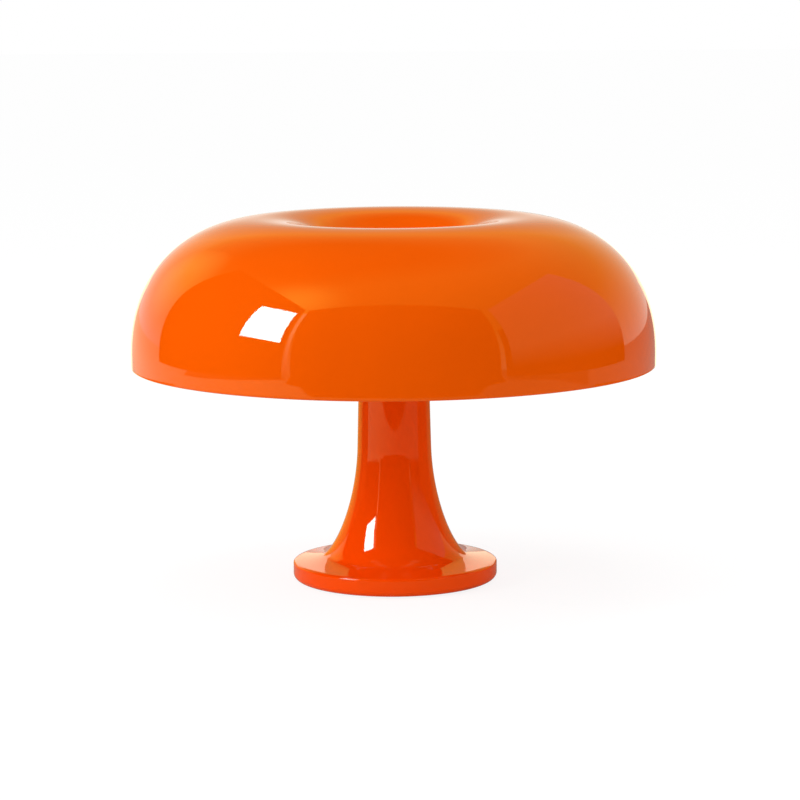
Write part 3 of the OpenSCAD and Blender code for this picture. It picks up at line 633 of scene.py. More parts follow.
def bmesh_object(name, shape):
    """A new object from a bmesh, which is freed."""
    mesh = bpy.data.meshes.new(name)
    shape.to_mesh(mesh)
    shape.free()
    return new_object(name, mesh)


def joined(name, pieces):
    """Several pieces as one object."""
    shape = bmesh.new()
    for piece in pieces:
        shape.from_mesh(piece.data)
    whole = bmesh_object(name, shape)
    whole.data.materials.append(pieces[0].data.materials[0])
    for piece in pieces:
        bpy.data.objects.remove(piece)
    smooth_by_angle(whole.data)
    return whole


def cut_and_add(piece, cutters, additions):
    """Cuts holes in a piece and adds bosses to it."""
    for tool, operation in [(c, "DIFFERENCE") for c in cutters] + [(a, "UNION") for a in additions]:
        modifier = piece.modifiers.new(operation.title(), "BOOLEAN")
        modifier.object = tool
        modifier.operation = operation
        modifier.solver = "EXACT"
    smooth_by_angle(apply_modifiers(piece))
    for tool in cutters + additions:
        bpy.data.objects.remove(tool)


def block(name, low, high):
    """A box between two corners, as a tool for cutting."""
    shape = bmesh.new()
    low, high = Vector(low), Vector(high)
    matrix = Matrix.Translation((low + high) / 2) @ Matrix.Diagonal(high - low).to_4x4()
    bmesh.ops.create_cube(shape, size=1.0, matrix=matrix)
    return bmesh_object(name, shape)


def drum(name, radius, bottom, top, centre=(0.0, 0.0)):
    """An upright round bar, as a tool for cutting."""
    shape = bmesh.new()
    middle = Matrix.Translation((centre[0], centre[1], (bottom + top) / 2))
    bmesh.ops.create_cone(shape, cap_ends=True, segments=64, radius1=radius, radius2=radius,
                          depth=top - bottom, matrix=middle)
    return bmesh_object(name, shape)


# Materials: each works on Object coordinates, in metres

# One noise: how large its patches are, its detail and roughness, and its stretch along X, Y and Z
Grain = namedtuple("Grain", "size detail roughness stretch", defaults=(2.0, 0.5, (1, 1, 1)))


def noise(tree, where, grain):
    mapping = add(tree, "ShaderNodeMapping", {"Vector": where, "Scale": Vector(grain.stretch) / grain.size})
    return add(tree, "ShaderNodeTexNoise", {
        "Vector": mapping.outputs[0], "Scale": 1.0, "Detail": grain.detail,
        "Roughness": grain.roughness}).outputs["Fac"]


def spread(tree, value, low=0.0, high=1.0):
    """Spreads a value from 0.3 to 0.7, as noise gives it, over low to high."""
    return ramp(tree, value, 0.3, 0.7, low, high)


def blend_colours(tree, factor, a, b):
    mix = add(tree, "ShaderNodeMix", {0: factor}, data_type="RGBA")
    mix.inputs[6].default_value = (*a, 1.0)
    mix.inputs[7].default_value = (*b, 1.0)
    return mix.outputs[2]


def tone(rgb, factor):
    return tuple(min(1.0, c * factor) for c in rgb)


def new_material(name):
    """A material with its Principled shader and the object's own coordinates."""
    material = bpy.data.materials.new(name)
    material.use_nodes = True
    tree = material.node_tree
    shader = next(n for n in tree.nodes if n.type == "BSDF_PRINCIPLED")
    where = add(tree, "ShaderNodeTexCoord").outputs["Object"]
    return material, tree, shader, where


def dress(tree, shader, shade, height=None, depth=0.0, values=None):
    """Gives a shader its colour, a bump whose height runs over depth in metres, and plain values."""
    tree.links.new(shade, shader.inputs["Base Color"])
    if height:
        bump = add(tree, "ShaderNodeBump", {"Height": height, "Distance": depth, "Strength": 1.0})
        tree.links.new(bump.outputs[0], shader.inputs["Normal"])
    for key, value in (values or {}).items():
        shader.inputs[key].default_value = value


def finish(name, colours, clouds, roughness, wear, bumps=None, depth=0.0, values=None):
    """A material of two colours in clouds, a range of roughness where it is worn, and bumps."""
    material, tree, shader, where = new_material(name)
    grains = dict.fromkeys(grain for grain in (clouds, wear, bumps) if grain)
    noises = {grain: noise(tree, where, grain) for grain in grains}
    shade = blend_colours(tree, spread(tree, noises[clouds]), *colours)
    tree.links.new(spread(tree, noises[wear], *roughness).socket, shader.inputs["Roughness"])
    dress(tree, shader, shade, noises.get(bumps), depth, values)
    return material


def gloss_plastic(name, rgb):
    """Polished moulding, coloured right through: faint flow marks, a trace of waviness and handling."""
    flow, handled, wavy = Grain(0.09, 3.0, stretch=(1, 1, 0.4)), Grain(0.03, 5.0, 0.7), Grain(0.02, 1.0)
    return finish(name, (tone(rgb, 0.97), tone(rgb, 1.03)), flow, (0.02, 0.035), handled, wavy, 4e-6,
                  {"IOR": 1.5, "Specular Tint": (1.0, 0.88, 0.4, 1.0)})


def plated_steel(name, rgb=(0.62, 0.63, 0.65)):
    """Zinc plated steel: a soft grey with faint warm and cool clouds and fine marks."""
    clouds, marks = Grain(0.006, 3.0), Grain(0.0012, 4.0, 0.7)
    warm = (rgb[0] * 1.04, rgb[1] * 1.03, rgb[2])
    return finish(name, (tone(rgb, 0.92), warm), clouds, (0.24, 0.42), marks, marks, 6e-6, {"Metallic": 1.0})


def turned_brass(name, rgb=(0.78, 0.55, 0.22)):
    """Machined brass, with faint tool marks round the axis and a little tarnish."""
    tarnish, cut = Grain(0.004, 4.0), Grain(0.0008, 2.0, stretch=(0.1, 0.1, 3))
    return finish(name, (rgb, tone(rgb, 0.78)), tarnish, (0.18, 0.34), cut, cut, 5e-6, {"Metallic": 1.0})


def cast_iron(name):
    """Sand-cast iron, blacked: grainy, with shallow pits."""
    grain = Grain(0.0016, 6.0, 0.7)
    return finish(name, ((0.028, 0.028, 0.03), (0.075, 0.074, 0.075)), grain, (0.5, 0.75), grain, grain,
                  0.00025, {"Metallic": 0.6})


def lacquered_steel(name):
    """Black lacquer with a fine wrinkle."""
    worn, wrinkle = Grain(0.02, 4.0), Grain(0.0009, 3.0, 0.6)
    return finish(name, ((0.016, 0.016, 0.018), (0.034, 0.034, 0.036)), worn, (0.34, 0.5), worn, wrinkle,
                  6e-5)


def soft_rubber(name, rgb):
    """Moulded rubber: matt, with a fine grain and pale dust in it."""
    dust = Grain(0.008, 5.0, 0.7)
    return finish(name, (rgb, tone(rgb, 1.9)), dust, (0.6, 0.82), dust, Grain(0.0005, 3.0), 3e-5)


def matt_moulding(name, rgb, low=0.42, high=0.58):
    """Heat resistant moulding: a fine spark-eroded grain over a faint mottle."""
    mottle, grain = Grain(0.012, 4.0), Grain(0.0004)
    return finish(name, (tone(rgb, 0.94), tone(rgb, 1.03)), mottle, (low, high), grain, grain, 1.2e-5)


def woven_sleeve(name):
    """Glass braid under silicone: two crossing sets of fine ridges."""
    material, tree, shader, where = new_material(name)
    ridges = []
    for lean in (0.8, -0.8):
        mapping = add(tree, "ShaderNodeMapping", {"Vector": where, "Rotation": (lean, 0.0, lean)})
        wave = {"Vector": mapping.outputs[0], "Scale": 420.0, "Distortion": 0.4}
        ridges.append(number(tree, "ShaderNodeTexWave", wave, "Fac", wave_type="BANDS", bands_direction="Z"))
    weave = calc(tree, "MAXIMUM", *ridges)
    shade = blend_colours(tree, weave, (0.45, 0.42, 0.34), (0.74, 0.71, 0.62))
    dress(tree, shader, shade, weave, 1e-4, {"Roughness": 0.55})
    return material


def silicone_lead(name, rgb):
    """Lead insulation: slightly uneven silicone with a soft sheen."""
    uneven = Grain(0.003)
    return finish(name, (tone(rgb, 0.85), tone(rgb, 1.1)), uneven, (0.36, 0.5), uneven, uneven, 3e-5)


def frosted_glass(name):
    """A globe frosted inside: white, slightly uneven, with a clear gloss outside."""
    frost = Grain(0.01, 4.0)
    return finish(name, ((0.86, 0.86, 0.84), (0.93, 0.93, 0.91)), frost, (0.35, 0.35), frost, values={
        "Transmission Weight": 0.35, "Coat Weight": 1.0, "Coat Roughness": 0.03})


def material_named(name, build, *arguments):
    """A material that is built once and then shared."""
    return bpy.data.materials.get(name) or build(name, *arguments)


def zinc():
    return material_named("Zinc plated steel", plated_steel)


def brass():
    return material_named("Brass", turned_brass)


def rubber():
    return material_named("Black rubber", soft_rubber, tuple(bpy.context.scene.lamp_colours.rubber))


def holder_plastic():
    return material_named("Lampholder moulding", matt_moulding, tuple(bpy.context.scene.lamp_colours.holders))


def paint(node, material):
    """Gives a CAD node that stays its own finish."""
    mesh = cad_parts[node].data
    mesh.materials.clear()
    mesh.materials.append(material)


# Operators: one for each piece, or group of like pieces

class LAMP_OT_shade(bpy.types.Operator):
    """Turn the shade: dome, rim, crest, funnel and well in one moulding"""
    bl_idname = "lamp.shade"
    bl_label = "Shade"

    def execute(self, context):
        size = context.scene.lamp_shade
        bottom, top = heights_of("shade")
        hole, outer = reach_of("shade")
        floor = top - size.well_depth
        shoulder = at(outer, bottom + size.skirt)
        crest = at(size.crest_radius, top)
        neck = at(size.well_radius, floor + size.well_wall)
        corner, lip = size.well_fillet, size.rim_fillet
        shoulder_steps, funnel_steps = 92, 36
        face = [at(outer, bottom + lip), shoulder]
        face += cubic(shoulder, shoulder + at(0, size.shoulder_rise), crest + at(size.shoulder_run, 0), crest,
                      shoulder_steps)
        face += cubic(crest, crest - at(size.funnel_run, 0), neck + at(0, size.funnel_rise), neck,
                      funnel_steps)
        face += arc((size.well_radius - corner, floor + corner), corner, 0, -90, 8)
        face.append(at(hole, floor))
        inside = beside(face, -size.wall)
        lining = inside[:-1:2] + inside[-1:]
        inner_lip = arc((outer - size.wall + lip, bottom + lip), lip, -180, -90, 5)
        outer_lip = arc((outer - lip, bottom + lip), lip, -90, 0, 5)
        outline = steadied(face + lining[::-1] + inner_lip[1:] + outer_lip[:-1], 1 * MM)
        plastic = material_named("Shade plastic", gloss_plastic, tuple(context.scene.lamp_colours.shade))
        piece = turned("shade_dome", outline, plastic, segments=size.segments)
        hand_over(piece, "shade", "shade_plastic", "shade")
        return {"FINISHED"}


class LAMP_OT_knob(bpy.types.Operator):
    """Make the fluted knob, its threaded insert and the washer under it"""
    bl_idname = "lamp.knob"
    bl_label = "Knob"

    flutes: count("Flutes", "Finger flutes round the knob", 12)
    flute_depth: length("Flute Depth", "Depth of a flute", 0.9)

    def execute(self, context):
        bottom, top = heights_of("shade_knob")
        radius = reach_of("shade_knob")[1]
        insert_radius = reach_of("knob_insert")[1]
        insert_bottom, insert_top = heights_of("knob_insert")
        ceiling = top - 2 * MM
        dished = top - 0.5 * MM
        bore = 4.5 * MM
        seat = insert_radius + 0.05 * MM
        lower, upper = 1 * MM, 3 * MM
        outline = [at(0, ceiling), at(bore, ceiling), at(bore, insert_top), at(seat, insert_top),
                   at(seat, bottom)]
        outline += arc((radius - lower, bottom + lower), lower, -90, 0, 4)
        side_start = len(outline) - 1
        outline += arc((radius - upper, top - upper), upper, 0, 90, 10)
        side_end = len(outline) - 4
        outline += bow(outline[-1], at(radius - 6 * MM, top), at(radius - 8 * MM, dished), 6)
        outline.append(at(0, dished))
        weights = [1.0 if side_start <= i < side_end else 0.0 for i in range(len(outline))]
        for step in range(5):
            weights[side_end + step - 1] = 1 - step / 5
        plastic = material_named("Knob plastic", gloss_plastic, tuple(context.scene.lamp_colours.shade))
        knob = turned("knob_grip", outline, plastic, closed=False, segments=216, flutes=self.flutes,
                      depth=self.flute_depth, weights=weights)
        hand_over(knob, "knob", "knob_plastic", "shade_knob")
        rod = reach_of("tie_rod")[1]
        insert = threaded("knob_insert_thread", brass(), crest_radius=rod + 0.05 * MM,
                          root_radius=rod + 0.5 * MM, core_radius=insert_radius, pitch=ROD_PITCH,
                          bottom=insert_bottom, top=insert_top, segments=48, steps=8)
        hand_over(insert, "knob", "brass", "knob_insert")
        nylon = material_named("Natural nylon", matt_moulding, (0.76, 0.73, 0.64), 0.3, 0.42)
        make_ring("knob_washer", "knob_washer_ring", "knob_washer", "washer_nylon", nylon, 0.4 * MM)
        return {"FINISHED"}


class LAMP_OT_stem(bpy.types.Operator):
    """Turn the stem and base, cut the deck's and the cord's openings and add the screw bosses"""
    bl_idname = "lamp.stem"
    bl_label = "Stem and Base"

    def execute(self, context):
        size = context.scene.lamp_stem
        lift, top = heights_of("stem_base")
        outer = reach_of("stem_base")[1]
        skirt_inner = outer - size.skirt_wall
        under_deck = top - size.deck
        face = self.face(size, outer, top)
        lining = [at(max(p.x, size.bore_radius), p.y) for p in beside(face, -size.wall)]
        ceiling = height_at(lining, skirt_inner)
        cavity = [p for p in lining if p.x < skirt_inner and p.y < under_deck]
        rod_hole = reach_of("tie_rod")[1] + 0.25 * MM
        under, edge, top_fillet = size.under_fillet, size.edge_fillet, 1 * MM
        outline = arc((outer - under, lift + under), under, -90, 0, 10)
        outline += arc((outer - edge, size.edge_height - edge), edge, 0, 70, 4)
        outline += face[1:-1]
        outline += arc((size.top_radius - top_fillet, top - top_fillet), top_fillet, 0, 90, 5)
        outline += [at(rod_hole, top), at(rod_hole, under_deck), at(size.bore_radius, under_deck)]
        outline += cavity[::-1]
        outline += [at(skirt_inner, ceiling), at(skirt_inner, lift)]
        # The stem's redder orange is painted shade, for the dimmer light under the dome
        plastic = material_named("Stem plastic", gloss_plastic, tuple(context.scene.lamp_colours.stem))
        piece = turned("stem_moulding", steadied(outline, 0.5 * MM), plastic, segments=size.segments)
        hole_radius, spare = 4.55 * MM, 1 * MM
        grommet_hole = drum("grommet_hole", hole_radius, under_deck - spare, top + spare,
                            axis_of("deck_grommet"))
        cut_and_add(piece, [grommet_hole, *self.cord_notch(outer, skirt_inner)], self.bosses(ceiling))
        hand_over(piece, "stand", "stem_plastic", "stem_base")
        return {"FINISHED"}

    def face(self, size, outer, top):
        """The outside from the flange's top edge up the flare to the top of the stem."""
        edge = at(outer, size.edge_height)
        foot = at(size.foot_radius, size.foot_height)
        steep, gentle = math.tan(size.foot_slope), math.tan(size.edge_slope)
        bend = (foot.y - edge.y - gentle * (edge.x - foot.x)) / (steep - gentle)
        middle = foot + at(bend, -bend * steep)
        pull = size.foot_pull * at(math.cos(size.foot_slope), -math.sin(size.foot_slope))
        flare = at(size.flare_radius, size.flare_height)
        stem_top = at(size.top_radius, top)
        along = (stem_top - flare).normalized()
        rise = cubic(foot, foot - pull, flare - size.flare_pull * along, flare, steps=44)
        return [edge, *bow(edge, middle, foot, steps=10), *rise, stem_top]

    def cord_notch(self, outer, skirt_inner):
        """The notch behind the base, open downwards, that the gland fills."""
        notch, cord_height = 3.55 * MM, 6.2 * MM
        start, end = skirt_inner - 2 * MM, outer + 2 * MM
        low = block("notch_box", (-notch, start, -1 * MM), (notch, end, cord_height))
        bar = drum("notch_bar", notch, start, end)
        place(bar, Matrix.Translation((0, 0, cord_height)) @ Matrix.Rotation(math.radians(-90), 4, "X"))
        return [low, bar]

    def bosses(self, ceiling):
        """The three bosses that take the cover's screws."""
        cover_top = heights_of("base_cover")[1]
        outline = ring_outline(1.5 * MM, 3.4 * MM, cover_top + 0.05 * MM, ceiling + 0.5 * MM, 0.2 * MM)
        bosses = []
        for centre in screw_places():
            bosses.append(centred(turned("screw_boss", outline, None, segments=32), centre))
        return bosses


def screw_places():
    """The upright axes of the cover's screws."""
    from_edge = 8.5 * MM
    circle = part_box("stem_base")[1].x - from_edge
    return [(circle * math.cos(math.radians(a)), circle * math.sin(math.radians(a))) for a in (-90, 30, 150)]


class LAMP_OT_base_fittings(bpy.types.Operator):
    """Make the standing ring and the screws, and finish the cover, weight, gland and clamp"""
    bl_idname = "lamp.base_fittings"
    bl_label = "Base Fittings"

    def execute(self, context):
        make_ring("base_pad_ring", "standing_ring", "stand", "soft_black", rubber(), 0.35 * MM, segments=128)
        pad_top = heights_of("base_pad_ring")[1]
        points = [(x, y, pad_top) for x, y in screw_places()]
        self.screws("cover_screw_set", points, "cover_screws", head_radius=2.25 * MM,
                    head_edge_radius=1.4 * MM, head_height=0.9 * MM, shank_radius=1.45 * MM,
                    shank_length=6.5 * MM, slot_length=2.6 * MM, slot_width=0.55 * MM, slot_depth=0.5 * MM,
                    crossed=True, upside_down=True)
        low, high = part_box("cord_clamp_screws")
        reach = high.x - 2.75 * MM
        points = [(x, (low.y + high.y) / 2, high.z) for x in (-reach, reach)]
        self.screws("clamp_screw_set", points, "cord_clamp_screws", head_radius=2.45 * MM,
                    head_edge_radius=2.75 * MM, head_height=1.8 * MM, shank_radius=1.5 * MM,
                    shank_length=6.4 * MM, slot_length=6 * MM, slot_width=0.8 * MM, slot_depth=0.9 * MM,
                    crossed=False, upside_down=False)
        paint("base_cover", material_named("Black lacquer", lacquered_steel))
        paint("ballast_weight", material_named("Cast iron", cast_iron))
        paint("cord_gland", rubber())
        paint("cord_clamp", material_named("Black moulding", matt_moulding, (0.02, 0.02, 0.021)))
        paint("terminal_block", material_named("Block moulding", matt_moulding, (0.74, 0.72, 0.66)))
        paint("terminal_sleeves", brass())
        paint("terminal_screws", zinc())
        paint("block_screw", zinc())
        return {"FINISHED"}

    def screws(self, name, points, node, **values):
        piece = mesh_object(name, points)
        use_tree(piece, "Driven Screws", screws_tree, zinc(), **values)
        hand_over(finished(piece, zinc()), "stand", "zinc_steel", node)


class LAMP_OT_rod(bpy.types.Operator):
    """Cut the tie rod's thread and make its nuts, washers, spacer tube, seat and gasket"""
    bl_idname = "lamp.rod"
    bl_label = "Tie Rod and Seat"

    def execute(self, context):
        bottom, top = heights_of("tie_rod")
        radius = reach_of("tie_rod")[1]
        rod = threaded("tie_rod_thread", zinc(), crest_radius=radius, root_radius=radius - 0.65 * MM,
                       pitch=ROD_PITCH, bottom=bottom, top=top, segments=24, steps=8)
        hand_over(rod, "stand", "zinc_steel", "tie_rod")
        for node, name in (("tie_rod_nut", "lower_nut"), ("deck_nut", "upper_nut")):
            bore, corner = reach_of(node)
            nut = hexagon_nut(name, 2 * corner * math.cos(HALF_SIDE), bore, *heights_of(node), zinc())
            hand_over(nut, "stand", "zinc_steel", node)
        for node, name, fillet, segments in (("tie_rod_washer", "lower_washer", 0.2, 72),
                                             ("deck_washer", "upper_washer", 0.2, 72),
                                             ("support_tube", "spacer_tube", 0.25, 72),
                                             ("shade_seat", "seat_disc", 0.6, 96)):
            make_ring(node, name, "stand", "zinc_steel", zinc(), fillet * MM, segments)
        make_ring("seat_gasket", "seat_gasket_ring", "stand", "soft_black", rubber(), 0.3 * MM, segments=96)
        paint("lampholder_carrier", zinc())
        return {"FINISHED"}


def hexagon_nut(name, across, bore, bottom, top, material):
    """A hexagon nut whose corners are turned off at 30 degrees, as one closed mesh."""
    sides, side_steps, turned_share = 6, 8, 0.97
    around = sides * side_steps
    flat = across / 2
    turned_off = flat * turned_share
    points = []
    for i in range(around):
        angle = math.tau * i / around
        off_flat = angle % math.radians(60) - HALF_SIDE
        corner = flat / math.cos(off_flat)
        drop = (corner - turned_off) * math.tan(HALF_SIDE)
        section = [(bore, bottom), (turned_off, bottom), (corner, bottom + drop), (corner, top - drop),
                   (turned_off, top), (bore, top)]
        points += [(r * math.cos(angle), r * math.sin(angle), z) for r, z in section]
    rows = len(section)
    faces = []
    for i in range(around):
        here, there = i * rows, (i + 1) % around * rows
        for row in range(rows):
            above = (row + 1) % rows
            faces.append((here + row, there + row, there + above, here + above))
    nut = mesh_object(name, points, faces=faces, material=material)
    face_outwards(nut.data)
    smooth_by_angle(nut.data, 20)
    return nut


class LAMP_OT_lampholders(bpy.types.Operator):
    """Make the four lampholders: caps, bodies, screw shells, nipples and nuts"""
    bl_idname = "lamp.lampholders"
    bl_label = "Lampholders"

    radius: length("Radius", "Radius of a lampholder", 14)
    wall: length("Wall", "Wall of a lampholder", 2)
    cap_length: length("Cap Length", "Length of the rear cap", 14)
    whole_length: length("Length", "Length of a lampholder", 44)
    ribs: count("Ribs", "Grip ribs round a lampholder", 24)

    def execute(self, context):
        self.mouldings()
        self.metal_parts()
        return {"FINISHED"}

    def mouldings(self):
        nipple_hole, groove = 5.05 * MM, 0.5 * MM
        bore, mouth, ledge, insulator_top = 7.65 * MM, 12 * MM, 40.5 * MM, 20 * MM
        radius, wall, join, end = self.radius, self.wall, self.cap_length, self.whole_length
        inside = radius - wall
        cap = [(nipple_hole, 0, 0.2 * MM), (radius - 3 * MM, 0, 0.8 * MM), (radius, 3 * MM, 0.8 * MM),
               (radius, join - groove, 0), (radius - groove, join, 0), (inside, join, 0),
               (inside, wall, 0.4 * MM), (nipple_hole, wall, 0.2 * MM)]
        body = [(bore, insulator_top, 0), (inside, insulator_top, 0), (inside, join, 0),
                (radius - groove, join, 0), (radius, join + groove, 0), (radius, end, 1 * MM),
                (mouth, end, 0.6 * MM), (mouth, ledge, 0.5 * MM), (bore, ledge, 0.4 * MM)]
        for name, node, corners, low, high in (
                ("lampholder_cap_set", "lampholder_caps", cap, 4.5 * MM, join - 1.5 * MM),
                ("lampholder_body_set", "lampholder_bodies", body, join + 1.5 * MM, join + 15 * MM)):
            outline, weights = finer_side(filleted(corners), radius, low, high)
            piece = turned(name, outline, holder_plastic(), segments=144, flutes=self.ribs, depth=0.45 * MM,
                           weights=weights, ring=HOLDER_RING)
            hand_over(piece, "stand", "holder_plastic", node)

    def metal_parts(self):
        copper = material_named("Pressed brass", turned_brass, (0.74, 0.5, 0.26))
        shell = threaded("screw_shell_set", copper, ring=HOLDER_RING, crest_radius=6.75 * MM,
                         root_radius=7.3 * MM, core_radius=7.6 * MM, pitch=CAP_PITCH, bottom=20 * MM,
                         top=40 * MM, segments=48, steps=10, roundness=1.0)
        hand_over(shell, "stand", "shell_copper", "holder_screw_shells")
        nipple = threaded("nipple_set", zinc(), ring=HOLDER_RING, crest_radius=5 * MM, root_radius=4.5 * MM,
                          core_radius=3.5 * MM, pitch=1 * MM, bottom=-4.2 * MM, top=7 * MM, segments=32,
                          steps=8)
        hand_over(nipple, "stand", "zinc_steel", "holder_nipples")
        across, bore, bottom, top = 16 * MM * math.cos(HALF_SIDE), 5.05 * MM, -4 * MM, -1.5 * MM
        nut = hexagon_nut("holder_nut_set", across, bore, bottom, top, zinc())
        hand_over(finished(nut, zinc(), HOLDER_RING), "stand", "zinc_steel", "holder_nuts")
        paint("holder_insulators", holder_plastic())
        paint("holder_contacts", brass())
        paint("holder_terminals", brass())


def finer_side(outline, radius, low, high):
    """Adds the points where ribs start and end on a side, with short run-outs, and gives their weights."""
    run_out = 1 * MM
    steps = [(low, 0.0), (low + run_out, 1.0), (high - run_out, 1.0), (high, 0.0)]
    points, weights = [], []
    for i, point in enumerate(outline):
        points.append(point)
        weights.append(0.0)
        after = outline[(i + 1) % len(outline)]
        on_side = abs(point.x - radius) < TOUCHING and abs(after.x - radius) < TOUCHING
        if on_side and point.y < low and after.y > high:
            points += [at(radius, height) for height, weight in steps]
            weights += [weight for height, weight in steps]
    return points, weights


class LAMP_OT_bulbs(bpy.types.Operator):
    """Make the four bulbs: frosted globe, threaded cap and contact"""
    bl_idname = "lamp.bulbs"
    bl_label = "Bulbs"

    globe_radius: length("Globe Radius", "Radius of a bulb's globe", 22.5)
    globe_at: length("Globe Centre", "Distance of the globe's centre from the lampholder's back", 76.7)
    cap_start: length("Cap Start", "Distance of the threaded cap from the lampholder's back", 23.2)
    cap_length: length("Cap Length", "Length of the threaded cap", 17)

    def execute(self, context):
        for i in range(BULBS):
            ring = {**HOLDER_RING, "count": 1, "first_azimuth": FIRST_AZIMUTH + math.tau / BULBS * i}
            self.glass(i + 1, ring)
            self.cap(i + 1, ring)
            self.contact(i + 1, ring)
        return {"FINISHED"}

    def glass(self, tag, ring):
        neck, wall = 6.55 * MM, 1 * MM
        outer = self.glass_face(self.globe_radius, neck)
        inner = self.glass_face(self.globe_radius - wall, neck - wall)
        frosted = material_named("Frosted glass", frosted_glass)
        piece = turned("bulb_globe_%d" % tag, outer + inner[::-1], frosted, ring=ring)
        hand_over(piece, "bulb_%d" % tag, "bulb_glass", "bulb_glass_%d" % tag)

    def glass_face(self, radius, neck):
        """One face of the glass, from its neck in the cap to its top."""
        join, steps = math.radians(142), 28
        cap_end = self.cap_start + self.cap_length
        start = at(neck, cap_end)
        globe = []
        for k in range(steps + 1):
            angle = join * (1 - k / steps)
            globe.append(at(radius * math.sin(angle), self.globe_at + radius * math.cos(angle)))
        globe[-1].x = 0.0
        neck_bow = bow(start, at(neck + 1 * MM, cap_end + 9 * MM), globe[0], 8)
        return [at(neck, cap_end - 3 * MM), start, *neck_bow, *globe[1:]]

    def cap(self, tag, ring):
        nickel = material_named("Nickel plated cap", plated_steel, (0.70, 0.69, 0.67))
        start, end = self.cap_start, self.cap_start + self.cap_length
        shell = threaded("bulb_cap_shell_%d" % tag, nickel, ring=ring, crest_radius=6.95 * MM,
                         root_radius=6.25 * MM, core_radius=5.6 * MM, pitch=CAP_PITCH, bottom=start,
                         top=end - 2.2 * MM, segments=48, steps=12, roundness=1.0)
        collar_outline = ring_outline(6.6 * MM, 6.9 * MM, end - 2.4 * MM, end, 0.12 * MM)
        collar = turned("cap_collar", collar_outline, nickel, ring=ring)
        piece = joined("bulb_cap_thread_%d" % tag, [shell, collar])
        hand_over(piece, "bulb_%d" % tag, "bulb_cap_metal", "bulb_cap_%d" % tag)

    def contact(self, tag, ring):
        tip = 21.2 * MM
        radius, edge = 2.3 * MM, 0.5 * MM
        seat = tip + 0.8 * MM
        back = seat + 1.2 * MM
        vitrite = material_named("Black glass", matt_moulding, (0.012, 0.012, 0.014), 0.12, 0.2)
        cone = [at(0, seat), at(radius + 1 * MM, seat), at(6.5 * MM, back), at(0, back)]
        base = turned("bulb_base_glass_%d" % tag, cone, vitrite, closed=False, ring=ring)
        hand_over(base, "bulb_%d_contact" % tag, "black_plastic", "bulb_contact_%d" % tag)
        dome = [at(0, tip), *arc((radius - edge, tip + edge), edge, -90, 0, 5), at(radius, seat), at(0, seat)]
        solder = material_named("Solder", plated_steel, (0.55, 0.55, 0.56))
        button = turned("bulb_button_%d" % tag, dome, solder, closed=False, segments=32, ring=ring)
        hand_over(button, "bulb_%d_contact" % tag, "zinc_steel", "bulb_contact_%d" % tag)


